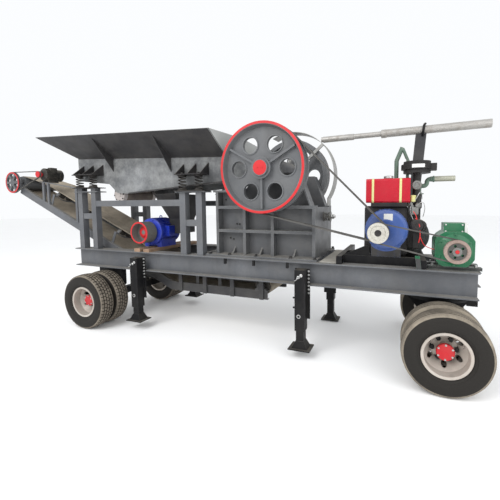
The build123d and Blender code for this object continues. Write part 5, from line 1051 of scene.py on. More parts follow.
@dataclass
class Chassis:
    """Main rails, cross members, axles and turntable, with the crusher's clamp studs and base bolts."""

    flange: float = 0.014
    stud_x: tuple[float, ...] = (-0.05, 0.39, 0.87)
    stud_y: float = 0.582
    stud_half: float = 0.016
    stud_drop: float = 0.080
    bolt_x: tuple[float, ...] = (-0.31, 0.0, 0.41, 0.90, 1.225)
    bolt_y: float = 0.545
    foot: float = 0.030
    plate_low: Triple = (1.285, -0.55, RAIL_TOP + 0.0005)
    plate_high: Triple = (1.495, 0.55, RAIL_TOP + 0.012)

    def build(self) -> None:
        """Dress the chassis."""
        coat_nodes(SLATE, "main_rails", "cross_members")
        coat_nodes(BLACK, "rear_axle", "front_turntable", "front_axle_frame")
        under, half = RAIL_TOP - self.flange, self.stud_half
        studs = [block("stud", place(x - half, side * self.stud_y - half, under - self.stud_drop),
                       place(x + half, side * self.stud_y + half, under), 0.003)
                 for x in self.stud_x for side in (-1, 1)]
        fit(join("clamp_studs", *studs), Body.ROOT, Slot.FRAME, BLACK)
        points = [place(x, side * self.bolt_y, RAIL_TOP + self.foot) for x in self.bolt_x for side in (-1, 1)]
        fit(bolts("base_bolts", points, 0.040, Facing.UP), Body.ROOT, Slot.FRAME, NUT_BLACK)
        plate_box = block("cross_plate", place(*self.plate_low), place(*self.plate_high), 0.003)
        fit(plate_box, Body.ROOT, Slot.FRAME, WEATHERED_PALE)


@dataclass
class RoadWheels:
    """Eight tyres in twin pairs, with their wheel nuts, lock rings and hub caps."""

    radius: float = 0.422
    half_width: float = 0.114
    tread_half: float = 0.090
    tread_drop: float = 0.0075
    shoulder: float = 0.392
    sidewall: Profile = (
        (0.2145, -0.078), (0.238, -0.080), (0.243, -0.088), (0.252, -0.096), (0.262, -0.1035), (0.266, -0.1015),
        (0.270, -0.1055), (0.300, -0.1125), (0.328, -0.114), (0.334, -0.1125), (0.342, -0.1138),
        (0.368, -0.110), (0.392, -0.103), (0.408, -0.097), (0.4135, -0.090))
    block_grooves: tuple[float, ...] = (-0.062, -0.022, 0.022, 0.062)
    rib_grooves: tuple[float, ...] = (-0.050, -0.017, 0.017, 0.050)
    groove_half: float = 0.0055
    groove_taper: float = 0.0015
    groove_depth: float = 0.012
    notch_from: float = 0.407
    notch_depth: float = 0.010
    block_sides: int = 240
    rib_sides: int = 150
    block_pitch: int = 5
    spacing: float = 0.272
    hub_reach: float = 0.1045
    nuts: int = 6
    nut_size: float = 0.048
    nut_circle: float = 0.113
    nut_seat: float = 0.0127
    plate_seat: float = 0.012
    ring_seat: float = 0.0825
    screw_size: float = 0.016
    screw_circle: float = 0.074
    screw_seat: float = 0.036
    cap: Profile = (
        (0.066, -0.004), (0.080, -0.004), (0.086, 0.004), (0.086, 0.030), (0.080, 0.0362), (0.040, 0.038),
        (0.010, 0.038))
    stud_plate: Profile = (
        (0.066, 0.0), (0.124, 0.0), (0.124, 0.005), (0.120, 0.008), (0.070, 0.008), (0.066, 0.006))
    lock_ring: Profile = (
        (0.2065, 0.0), (0.2335, 0.0), (0.2350, 0.004), (0.2325, 0.009), (0.214, 0.0095), (0.2065, 0.006))
    valve: tuple[Triple, ...] = ((0.16, 0.02, 0.10), (0.155, 0.05, 0.097), (0.14, 0.066, 0.088))

    def crown(self, across: float) -> float:
        """Tread radius at a place across the tyre."""
        return self.radius - self.tread_drop * (across / self.tread_half) ** 2

    def outline(self, grooves: Sequence[float]) -> list[Pair]:
        """The tyre's closed outline.

        Args:
            grooves: Middle of each groove across the tread.

        Returns:
            Radius and height of each ring.
        """
        tread: list[Pair] = []
        for middle in grooves:
            near, far = middle - self.groove_half, middle + self.groove_half
            tread += [(self.crown(near), near), (self.crown(near) - self.groove_depth, near + self.groove_taper),
                      (self.crown(far) - self.groove_depth, far - self.groove_taper), (self.crown(far), far)]
        return [*self.sidewall, *tread, *[(radius, -height) for radius, height in reversed(self.sidewall)]]

    def tyre(self, blocks: bool) -> Piece:
        """One tyre about the origin.

        Args:
            blocks: The tread is cut into blocks; otherwise it is ribbed.

        Returns:
            The tyre, its sidewall and tread finished.
        """
        grooves, sides, finish = ((self.block_grooves, self.block_sides, TYRE_TREAD) if blocks
                                  else (self.rib_grooves, self.rib_sides, TYRE_RIBS))
        piece = turned("tyre", self.outline(grooves), sides, loop=True)

        def is_notch(polygon: bpy.types.MeshPolygon) -> bool:
            """The face lies in a cross groove of the tread, which steps aside in the tyre's middle."""
            x, y, z = polygon.center
            sector = int((math.atan2(y, x) / (2 * math.pi) % 1.0) * sides + 0.01)
            shift = 2 if abs(z) < self.block_grooves[2] else 0
            return (math.hypot(x, y) > self.notch_from and abs(z) < 0.1
                    and (sector + shift) % self.block_pitch == 0)

        if blocks:
            choose(piece, is_notch)
            bpy.ops.mesh.inset(thickness=0.0012, depth=-self.notch_depth, use_individual=False)
            leave()
        coat(piece, TYRE_SIDE, finish)
        for polygon in piece.data.polygons:
            x, y, z = polygon.center
            across = abs(z)
            top = self.crown(across) - 0.004 if across < self.tread_half else self.shoulder
            polygon.material_index = 1 if math.hypot(x, y) > top and across < 0.104 else 0
        return smooth(piece, 30.0)

    def build(self) -> None:
        """Make and fit the wheels of both axles and both sides."""
        for axle, blocks in (("front", False), ("rear", True)):
            model = self.tyre(blocks)
            for side, way, facing in SIDES:
                coat_nodes(RIM_CREAM, f"wheel_{axle}_{side}")
                self.pair(f"{axle}_{side}", f"{axle}_wheels_{side}", way, facing, model)
            bpy.data.objects.remove(model)

    def pair(self, tag: str, body: str, way: float, facing: Facing, model: Piece) -> None:
        """Fit one twin pair.

        Args:
            tag: Its axle and side, as its pieces' names have them.
            body: The body that it rides on.
            way: -1 on the near side and 1 on the far side.
            facing: The way its outer face looks.
            model: The tyre to copy.
        """
        low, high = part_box(f"tyres_{tag}")
        centre = Vector(((low[0] + high[0]) / 2, 0.0, (low[2] + high[2]) / 2))
        outer = max(abs(low[1]), abs(high[1])) - self.half_width
        disc = outer - self.spacing / 2
        hub = disc + self.hub_reach

        def at(reach: float, x: float = 0.0, z: float = 0.0) -> Vector:
            """A point at a distance from the plant's centre line, on the wheel's axis or off it."""
            return centre + Vector((x, way * reach, z))

        spare = model.copy()
        spare.data = model.data.copy()
        bpy.context.collection.objects.link(spare)
        tyres = copies(f"tyre_pair_{tag}", spare, [spot(at(outer - gap), facing) for gap in (0, self.spacing)])
        fit(tyres, body, Slot.TYRE, None, f"tyres_{tag}")
        ring = circle_points(at(disc + self.nut_seat), self.nut_circle, self.nuts)
        fit(bolts(f"wheel_nuts_{tag}", ring, self.nut_size, facing, 0.75), body, Slot.RIM, NUT_BLACK)
        fit_round(f"hub_cap_{tag}", self.cap, 40, spot(at(hub), facing), body, Slot.RIM, HUB_RED)
        ring = circle_points(at(hub + self.screw_seat), self.screw_circle, self.nuts, 0.5)
        fit(bolts(f"cap_bolts_{tag}", ring, self.screw_size, facing, 0.4), body, Slot.RIM, SILVER)
        for name, rings, sides, reach in (("stud_plate", self.stud_plate, 48, disc + self.plate_seat),
                                          ("lock_ring", self.lock_ring, 72, outer + self.ring_seat)):
            fit_round(f"{name}_{tag}", rings, sides, spot(at(reach), facing), body, Slot.RIM, RIM_CREAM, True)
        stem = [at(outer + reach, x, z) for x, reach, z in self.valve]
        fit(bent_rod(f"valve_{tag}", stem, 0.004), body, Slot.RIM, SILVER)


@dataclass
class LandingLegs:
    """Four landing legs: bolt rows on their plates, crank heads and lock pins."""

    plate_y: float = 0.618
    bolt_size: float = 0.021
    row_half: float = 0.082
    row_z: Pair = (0.80, 1.075)
    row_count: int = 7
    face_y: float = 0.744
    pin_x: Pair = (-0.102, -0.070)
    pin_y: float = 0.690
    pin_z: Pair = (0.62, 0.745)
    pin_half: float = 0.010
    head_at: Triple = (-0.012, 0.0, 1.018)
    head: Profile = (
        (0.019, -0.004), (0.019, 0.010), (0.013, 0.014), (0.011, 0.016), (0.011, 0.046), (0.008, 0.050))
    washer_at: Triple = (0.022, 0.0, 1.042)
    washer: Profile = ((0.020, -0.004), (0.020, 0.006), (0.014, 0.009))
    ring_at: Triple = (-0.010, 0.0, 0.530)
    ring: Profile = ((0.016, -0.002), (0.024, -0.002), (0.025, 0.004), (0.016, 0.005))
    handle: tuple[Triple, ...] = (
        (-0.010, 0.030, 1.016), (-0.025, 0.034, 0.996), (-0.046, 0.030, 0.982), (-0.050, 0.046, 0.980))

    def build(self) -> None:
        """Dress the legs."""
        coat_nodes(BLACK, "leg_housings")
        rise = (self.row_z[1] - self.row_z[0]) / (self.row_count - 1)
        for side, way, facing in SIDES:
            heads: list[Vector] = []
            for end in ("front", "rear"):
                name = f"{side}_{end}"
                coat_nodes(BLACK, f"leg_{name}")
                low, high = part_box(f"leg_{name}")
                x = (low[0] + high[0]) / 2
                heads += [Vector((x + step * self.row_half, way * self.plate_y, self.row_z[0] + rise * index))
                          for index in range(self.row_count) for step in (-1, 1)]
                self.crank(name, x, way, facing)
            fit(bolts(f"plate_bolts_{side}", heads, self.bolt_size, facing), Body.ROOT, Slot.LEG, SILVER)

    def crank(self, name: str, x: float, way: float, facing: Facing) -> None:
        """The jack's gear head and handle at the top of a leg, and the lock ring and pins lower down.

        Args:
            name: Name of the leg.
            x: Its place in the frame.
            way: -1 on the near side and 1 on the far side.
            facing: The way its outer face looks.
        """

        def at(along: float, reach: float, height: float) -> Vector:
            """A point beside the leg, proud of its outer face."""
            return Vector((x + along, way * (self.face_y + reach), height))

        head = settle(turned("head", self.head, 20), spot(at(*self.head_at), facing))
        washer = settle(turned("washer", self.washer, 20), spot(at(*self.washer_at), facing))
        fit(smooth(join(f"gear_head_{name}", head, washer)), Body.ROOT, Slot.LEG, SILVER)
        handle = bent_rod(f"crank_{name}", [at(*point) for point in self.handle], 0.0045)
        fit(handle, Body.ROOT, Slot.LEG, SILVER)
        fit_round(f"lock_ring_{name}", self.ring, 20, spot(at(*self.ring_at), facing), Body.ROOT, Slot.LEG, SILVER,
                  True)
        y, half = way * self.pin_y, self.pin_half
        pins = [block("pin", (x + self.pin_x[0], y - half, z - half), (x + self.pin_x[1], y + half, z + half), 0.003)
                for z in self.pin_z]
        fit(join(f"lock_pins_{name}", *pins), Body.ROOT, Slot.LEG, BLACK)


# ---- Crusher


@dataclass
class Crusher:
    """The ribbed crusher body: bearing bolts, liner bolts, housing feet and tension rod."""

    cover_y: float = 0.466
    cover_circle: float = 0.108
    cover_screw: float = 0.030
    panel_y: float = 0.344
    liner_size: float = 0.022
    liner_bolts: tuple[Pair, ...] = (
        (0.015, 1.632), (0.055, 1.628), (-0.095, 1.425), (-0.045, 1.408), (-0.16, 1.98))
    foot_x: float = 0.178
    foot_y: Pair = (0.335, 0.415)
    foot_drop: float = 0.115
    foot_size: float = 0.040
    eye_y: float = 0.375
    eye_rise: float = 0.223
    eye: Profile = (
        (0.030, -0.008), (0.042, -0.008), (0.046, 0.0), (0.042, 0.008), (0.030, 0.008), (0.026, 0.0))
    wall_washer: Profile = ((0.070, 0.0), (0.070, 0.006), (0.066, 0.007))
    end_washer: Profile = ((0.074, 0.0), (0.074, 0.008), (0.066, 0.010))
    nut: Profile = ((0.032, 0.0), (0.036, 0.003), (0.036, 0.019), (0.032, 0.022))
    nut_x: Pair = (0.100, 0.124)
    coil_radius: float = 0.056
    coil_wire: float = 0.0075
    coil_turns: float = 2.5
    coil_x: Pair = (0.009, 0.091)
    end_washer_x: float = 0.090
    rod_radius: float = 0.017

    def build(self) -> None:
        """Dress the crusher."""
        coat_nodes(CRUSHER_SLATE, "crusher_sides", "crusher_end_walls", "bearing_housings", "swing_jaw")
        coat_nodes(JAW_STEEL, "jaw_plates", "toggle_plate")
        coat_nodes(GUARD_PALE, "flywheel_guard")
        x, z = SHAFT_AXIS
        for side, way, facing in SIDES:
            ring = circle_points(place(x, way * self.cover_y, z), self.cover_circle, 8, 0.2)
            fit(bolts(f"bearing_screws_{side}", ring, self.cover_screw, facing), Body.ROOT, Slot.CRUSHER, NUT_BLACK)
            plugs = [place(along, way * self.panel_y, height) for along, height in self.liner_bolts]
            fit(bolts(f"liner_bolts_{side}", plugs, self.liner_size, facing), Body.ROOT, Slot.CRUSHER, NUT_BLACK)
        feet = [place(x + step * self.foot_x, way * y, z - self.foot_drop)
                for step in (-1, 1) for way in (-1, 1) for y in self.foot_y]
        fit(bolts("housing_bolts", feet, self.foot_size, Facing.UP, 0.8), Body.ROOT, Slot.CRUSHER, NUT_BLACK)
        eyes = copies("lifting_eyes", turned("eye", self.eye, 24, loop=True),
                      [spot(place(x, way * self.eye_y, z + self.eye_rise), Facing.NEAR) for way in (-1, 1)])
        fit(smooth(eyes), Body.ROOT, Slot.CRUSHER, CRUSHER_SLATE)
        self.tension_rod()

    def tension_rod(self) -> None:
        """The tension rod behind the crusher with its coil spring, washers and lock nuts."""
        low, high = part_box("tension_rod")
        end = high[0] - low[0]

        def seat(piece: Piece, along: float) -> Piece:
            """Put a round piece on the rod, a distance behind the back wall."""
            return smooth(settle(piece, spot((low[0] + along, 0.0, (low[2] + high[2]) / 2), Facing.RIGHT)))

        spring = coil(self.coil_radius, self.coil_wire, self.coil_turns, self.coil_x[1] - self.coil_x[0])
        parts = [seat(spring, self.coil_x[0]), seat(turned("washer", self.wall_washer, 36), 0.0),
                 seat(turned("washer", self.end_washer, 36), self.end_washer_x)]
        fit(join("tension_spring", *parts), Body.ROOT, Slot.SHAFT, PULLEY_GREY, "tension_rod")
        rings = [(self.rod_radius, 0.002), (self.rod_radius, end - 0.004), (self.rod_radius - 0.003, end)]
        rod = seat(turned("rod", rings, 20), 0.0)
        nuts = [seat(turned("nut", self.nut, 6), along) for along in self.nut_x]
        fit(join("tension_bolt", rod, *nuts), Body.ROOT, Slot.SHAFT, SILVER, "tension_rod")


@dataclass
class Flywheels:
    """Both flywheels with their red rim faces and end caps."""

    face_y: float = 0.704
    rim: Profile = (
        (0.543, -0.001), (0.5748, -0.004), (0.5748, 0.0008), (0.572, 0.0026), (0.545, 0.0026), (0.543, 0.0012))
    cap: Profile = ((0.0946, -0.004), (0.0946, 0.020), (0.091, 0.0236), (0.060, 0.0242), (0.010, 0.0242))
    collar: Profile = (
        (0.092, -0.004), (0.1052, -0.004), (0.1052, 0.022), (0.1035, 0.0236), (0.0935, 0.0236), (0.092, 0.020))
    screw_x: float = 0.030
    screw_y: float = 0.024
    screw_size: float = 0.018

    def build(self) -> None:
        """Dress the flywheels and the shaft."""
        coat_nodes(CAST_SLATE, "flywheels")
        coat_nodes(SHAFT_STEEL, "eccentric_shaft")
        for side, way, facing in SIDES:
            centre = place(SHAFT_AXIS[0], way * self.face_y, SHAFT_AXIS[1])
            for name, rings, sides, finish, loop in (("red_rim", self.rim, 128, SIGNAL_RED, True),
                                                     ("red_cap", self.cap, 64, SIGNAL_RED, False),
                                                     ("cap_collar", self.collar, 64, CAST_SLATE, True)):
                fit_round(f"{name}_{side}", rings, sides, spot(centre, facing), Body.SHAFT, Slot.FLYWHEEL, finish,
                          loop)
            heads = [centre + Vector((x, way * self.screw_y, 0.0)) for x in (-self.screw_x, self.screw_x)]
            screws = bolts(f"cap_screws_{side}", heads, self.screw_size, facing, 0.4)
            fit(screws, Body.SHAFT, Slot.FLYWHEEL, SIGNAL_RED)


# ---- Feeder


@dataclass
class Feeder:
    """Feeder trough, hopper sheets, spring stacks with their brackets, stand, chute and vibrator."""

    trough_half: float = 0.430
    post_x: tuple[Pair, ...] = ((-2.854, -2.544), (-0.749, -0.464))
    post_y: Pair = (0.484, 0.584)
    post_half: float = 0.050
    solid_heads: Pair = (2.139, 2.099)
    seats: Pair = (2.204, 2.111)
    seat_reach: float = 0.100
    seat_y: Pair = (0.424, 0.640)
    shelves: Pair = (2.404, 2.333)
    shelf_reach: float = 0.080
    shelf_y: float = 0.650
    sheet: float = 0.012
    web_height: float = 0.172
    spring_y: float = 0.570
    spring_radius: float = 0.051
    spring_foot: float = 0.013
    wire: float = 0.0085
    nut_size: float = 0.034
    cup: Profile = ((0.066, 0.0), (0.066, 0.010), (0.058, 0.014), (0.034, 0.014), (0.030, 0.030))
    chute_half: float = 0.390
    chute_length: float = 0.420
    chute_fold: float = 0.36
    chute_drop: float = 0.24
    mouth_scale: Triple = (0.62, 0.42, 1.0)
    mouth_at: Pair = (0.12, 0.10)
    ear_x: Pair = (0.12, 0.24)
    ear_y: Pair = (-0.30, 0.33)
    ear_z: Pair = (1.930, 1.942)
    strip: Profile = ((-1.900, 2.092), (-0.154, 2.222), (-0.154, 2.240), (-1.900, 2.110))
    strip_width: float = 0.036
    exciter: Pair = (-2.230, 2.085)
    exciter_half: float = 0.340
    cover_circle: float = 0.100
    cover_face: float = 0.013
    cover_screw: float = 0.017
    cover: Profile = (
        (0.112, -0.060), (0.118, -0.058), (0.118, 0.006), (0.113, 0.012), (0.088, 0.014), (0.084, 0.010),
        (0.040, 0.010), (0.036, 0.018), (0.010, 0.018))
    weld_radius: float = 0.006
    weld_fall: float = 0.1285

    def build(self) -> None:
        """Dress the feeder."""
        coat_nodes(SLATE, "feeder_bents", "feeder_beams")
        coat_nodes(WEATHERED, "feeder_trough")
        coat_nodes(HOPPER_CHARCOAL_DUST_AND_HIGHLIGHT, "hopper_sheets")
        coat_nodes(DUSTY_BROWN, "feeder_exciter")
        self.spring_seats()
        self.springs()
        self.brackets()
        self.chute()
        self.trough_edges()
        self.exciter_ends()
        self.hopper_welds()

    def sided(self, way: float, x: Pair, y: Pair, z: Pair) -> Piece:
        """A square-cut steel part on one side of the feeder.

        Args:
            way: -1 on the near side and 1 on the far side.
            x: Its two ends along the plant.
            y: Its nearer and farther face from the centre line.
            z: Its bottom and top.

        Returns:
            The part.
        """
        near, far = sorted((way * y[0], way * y[1]))
        return block("part", place(x[0], near, z[0]), place(x[1], far, z[1]))

    def spring_seats(self) -> None:
        """Heads on the posts that the solids leave short, and the seat plates that carry the springs."""
        half, reach = self.post_half, self.seat_reach
        heads: list[Piece] = []
        plates: list[Piece] = []
        for posts, seat, solid in zip(self.post_x, self.seats, self.solid_heads):
            top = seat - self.sheet
            for way in (-1, 1):
                if top > solid + 0.01:
                    heads += [self.sided(way, (x - half, x + half), self.post_y, (solid - 0.002, top + 0.001))
                              for x in posts]
                plates.append(self.sided(way, (posts[0] - reach, posts[1] + reach), self.seat_y, (top, seat)))
        fit(join("post_heads", *heads), Body.ROOT, Slot.FRAME, SLATE)
        fit(join("spring_seats", *plates), Body.ROOT, Slot.HOPPER, SPRING_BLACK)

    def springs(self) -> None:
        """Coil springs between cups, with their bolts' nuts on the shelves."""
        stacks: list[Piece] = []
        nuts: list[Vector] = []
        for posts, seat, shelf in zip(self.post_x, self.seats, self.shelves):
            height = shelf - seat
            for x in posts:
                for way in (-1, 1):
                    flip = Matrix.Translation((0, 0, height)) @ Matrix.Rotation(math.pi, 4, "X")
                    cups = [smooth(settle(turned("cup", self.cup, 24), matrix)) for matrix in (Matrix(), flip)]
                    spring = coil(self.spring_radius, self.wire, 4.0, height - 2 * self.spring_foot)
                    settle(spring, spot((0, 0, self.spring_foot)))
                    where = place(x, way * self.spring_y, seat)
                    stacks.append(settle(join("stack", *cups, spring), spot(where)))
                    nuts.append(where + Vector((0, 0, height + self.sheet)))
        fit(join("spring_stacks", *stacks), Body.ROOT, Slot.HOPPER, SPRING_BLACK, "feeder_springs")
        fit(bolts("spring_nuts", nuts, self.nut_size, Facing.UP), Body.ROOT, Slot.HOPPER, NUT_BLACK)

    def brackets(self) -> None:
        """Shelves with three gussets each, welded to the trough's sides over the springs."""
        foot = self.shelf_y - self.trough_half - 0.010
        pieces: list[Piece] = []
        for (left, right), bottom in zip(self.post_x, self.shelves):
            start, end, top = left - self.shelf_reach, right + self.shelf_reach, bottom + self.sheet
            for way in (-1, 1):
                stand = Matrix(((0, 0, 1, 0), (way, 0, 0, 0), (0, 1, 0, 0), (0, 0, 0, 1)))
                pieces.append(self.sided(way, (start, end), (self.trough_half - 0.001, self.shelf_y),
                                         (bottom, top)))
                for share in (0.0, 0.5, 1.0):
                    web = plate("web", [(0.0, 0.0), (foot, 0.0), (0.0, self.web_height)], self.sheet)
                    x = start + 0.001 + (end - start - self.sheet - 0.002) * share
                    at = place(x, way * self.trough_half, top - 0.001)
                    pieces.append(outward(settle(web, Matrix.Translation(at) @ stand)))
        fit(join("spring_brackets", *pieces), Body.ROOT, Slot.HOPPER, GUSSET_DARK, "feeder_brackets")

    def chute(self) -> None:
        """Fines chute: a folded sheet funnel open at both ends, with an ear to each beam."""
        low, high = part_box("fines_chute")
        x, fold = low[0], low[2] + self.chute_fold
        funnel = block("funnel", (x + 0.004, -self.chute_half, fold),
                       (x + self.chute_length, self.chute_half, high[2]), 0.0)
        choose(funnel, lambda polygon: polygon.normal.z < -0.5)
        centre = (x + self.mouth_at[0], self.mouth_at[1], fold)
        bpy.ops.transform.resize(value=self.mouth_scale, center_override=centre)
        bpy.ops.mesh.extrude_region_move(TRANSFORM_OT_translate={"value": (0, 0, -self.chute_drop)})
        leave()
        choose(funnel, lambda polygon: abs(polygon.normal.z) > 0.9)
        bpy.ops.mesh.delete(type="FACE")
        leave()
        pick(funnel)
        sheet = funnel.modifiers.new("sheet", "SOLIDIFY")
        sheet.thickness, sheet.offset = 0.006, -1.0
        bpy.ops.object.modifier_apply(modifier=sheet.name)
        ears = [block("ear", (x + self.ear_x[0], start, self.ear_z[0]), (x + self.ear_x[1], end, self.ear_z[1]))
                for start, end in ((low[1], self.ear_y[0]), (self.ear_y[1], high[1]))]
        fit(join("fines_funnel", funnel, *ears), Body.ROOT, Slot.FEEDER, CHARCOAL, "fines_chute")

    def trough_edges(self) -> None:
        """Dark angle strips along the trough's lower edges."""
        strips: list[Piece] = []
        for start in (-self.trough_half + 0.001 - self.strip_width, self.trough_half - 0.001):
            stand = Matrix(((1, 0, 0, RAIL_MID_X), (0, 0, 1, start), (0, 1, 0, 0), (0, 0, 0, 1)))
            strips.append(outward(settle(plate("strip", self.strip, self.strip_width), stand)))
        fit(join("trough_edges", *strips), Body.ROOT, Slot.FEEDER, CHARCOAL)

    def exciter_ends(self) -> None:
        """Pale end covers of the vibrator's shaft tube, with their screws."""
        x, z = self.exciter
        for side, way, facing in SIDES:
            fit_round(f"exciter_cover_{side}", self.cover, 48, spot(place(x, way * self.exciter_half, z), facing),
                      Body.ROOT, Slot.FEEDER, SILVER_PAINT)
            centre = place(x, way * (self.exciter_half + self.cover_face), z)
            screws = bolts(f"exciter_screws_{side}", circle_points(centre, self.cover_circle, 8, 0.1),
                           self.cover_screw, facing)
            fit(screws, Body.ROOT, Slot.FEEDER, NUT_BLACK)

    def hopper_welds(self) -> None:
        """Weld beads where the hopper sheets meet the trough's top edges."""
        low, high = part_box("feeder_trough")
        top = high[2] - 0.012
        beads = [bent_rod("bead", [(low[0] + 0.02, y, top), (high[0] - 0.02, y, top - self.weld_fall)],
                          self.weld_radius, 8, False)
                 for y in (-self.trough_half - 0.001, self.trough_half + 0.001)]
        fit(join("hopper_welds", *beads), Body.ROOT, Slot.HOPPER, GUSSET_DARK)


# ---- Conveyor


@dataclass
class Conveyor:
    """Product conveyor: dusty belt, idlers, head drive and its finned motor."""

    sheave_at: Triple = (-4.859, -0.476, 2.360)
    sheave_rim: Profile = ((0.174, -0.001), (0.2006, -0.003), (0.2006, 0.0008), (0.198, 0.0026), (0.176, 0.0026))
    motor_at: Triple = (-4.097, 0.0, 2.490)
    fin_low: Triple = (0.105, -0.368, -0.0015)
    fin_high: Triple = (0.120, -0.179, 0.0015)

    def build(self) -> None:
        """Dress the conveyor."""
        coat_nodes(CONVEYOR_SLATE_PAINTED_SHADE, "conveyor_channels", "conveyor_framework")
        coat_nodes(BELT_TOP, "conveyor_belt")
        coat_nodes(DUSTY_BLACK, "conveyor_rollers", "conveyor_motor")
        coat_nodes(CAST_SLATE, "conveyor_head_drum")
        coat_nodes(HUB_RED, "conveyor_motor_pulley")
        fit_round("head_sheave_rim", self.sheave_rim, 72, spot(place(*self.sheave_at), Facing.NEAR), Body.HEAD,
                  Slot.FLYWHEEL, SIGNAL_RED, True)
        fin = block("fin", self.fin_low, self.fin_high, 0.0006)
        fins = spread("conveyor_motor_fins", fin, place(*self.motor_at), "Y", 30, (60, 120))
        fit(fins, Body.ROOT, Slot.ENGINE, DUSTY_BLACK)


# ---- Motors and belts


@dataclass
class DriveMotor:
    """The blue electric motor, its boards and its drum pulley."""

    axis: Pair = (-1.570, 1.479)
    fin_low: Triple = (0.197, -0.316, -0.002)
    fin_high: Triple = (0.221, -0.022, 0.002)
    pulley_y: float = -0.604
    rim: Profile = ((0.1455, 0.0), (0.1686, -0.004), (0.1686, 0.0008), (0.166, 0.0026), (0.1455, 0.0026))
    hub: Profile = (
        (0.100, -0.118), (0.100, -0.112), (0.064, -0.108), (0.064, -0.088), (0.058, -0.086), (0.036, -0.086),
        (0.034, -0.092), (0.010, -0.092))
    bell_y: float = -0.364
    bell_circle: float = 0.188
    bell_screw: float = 0.022
    eye_y: float = -0.13
    eye_rise: float = 0.229
    eye: Profile = (
        (0.018, -0.006), (0.028, -0.006), (0.031, 0.0), (0.028, 0.006), (0.018, 0.006), (0.015, 0.0))

    def build(self) -> None:
        """Dress the motor."""
        coat_nodes(MOTOR_BLUE, "electric_motor")
        coat_nodes(PULLEY_GREY, "motor_pulley")
        coat_nodes(BOARDS, "motor_sleepers")
        x, z = self.axis
        fin = block("fin", self.fin_low, self.fin_high, 0.0008)
        fins = spread("drive_motor_fins", fin, place(x, 0.0, z), "Y", 44, (330, 361), (-1, 30), (50, 130))
        fit(fins, Body.ROOT, Slot.MOTOR, MOTOR_BLUE)
        face = spot(place(x, self.pulley_y, z), Facing.NEAR)
        fit_round("motor_pulley_rim", self.rim, 72, face, Body.MOTOR, Slot.PULLEY, SIGNAL_RED, True)
        fit_round("motor_pulley_hub", self.hub, 40, face, Body.MOTOR, Slot.PULLEY, SIGNAL_RED)
        ring = circle_points(place(x, self.bell_y, z), self.bell_circle, 6, 0.26)
        fit(bolts("bell_screws", ring, self.bell_screw, Facing.NEAR), Body.ROOT, Slot.MOTOR, MOTOR_BLUE)
        fit_round("motor_eye", self.eye, 20, spot(place(x, self.eye_y, z + self.eye_rise), Facing.NEAR), Body.ROOT,
                  Slot.MOTOR, MOTOR_BLUE, True)


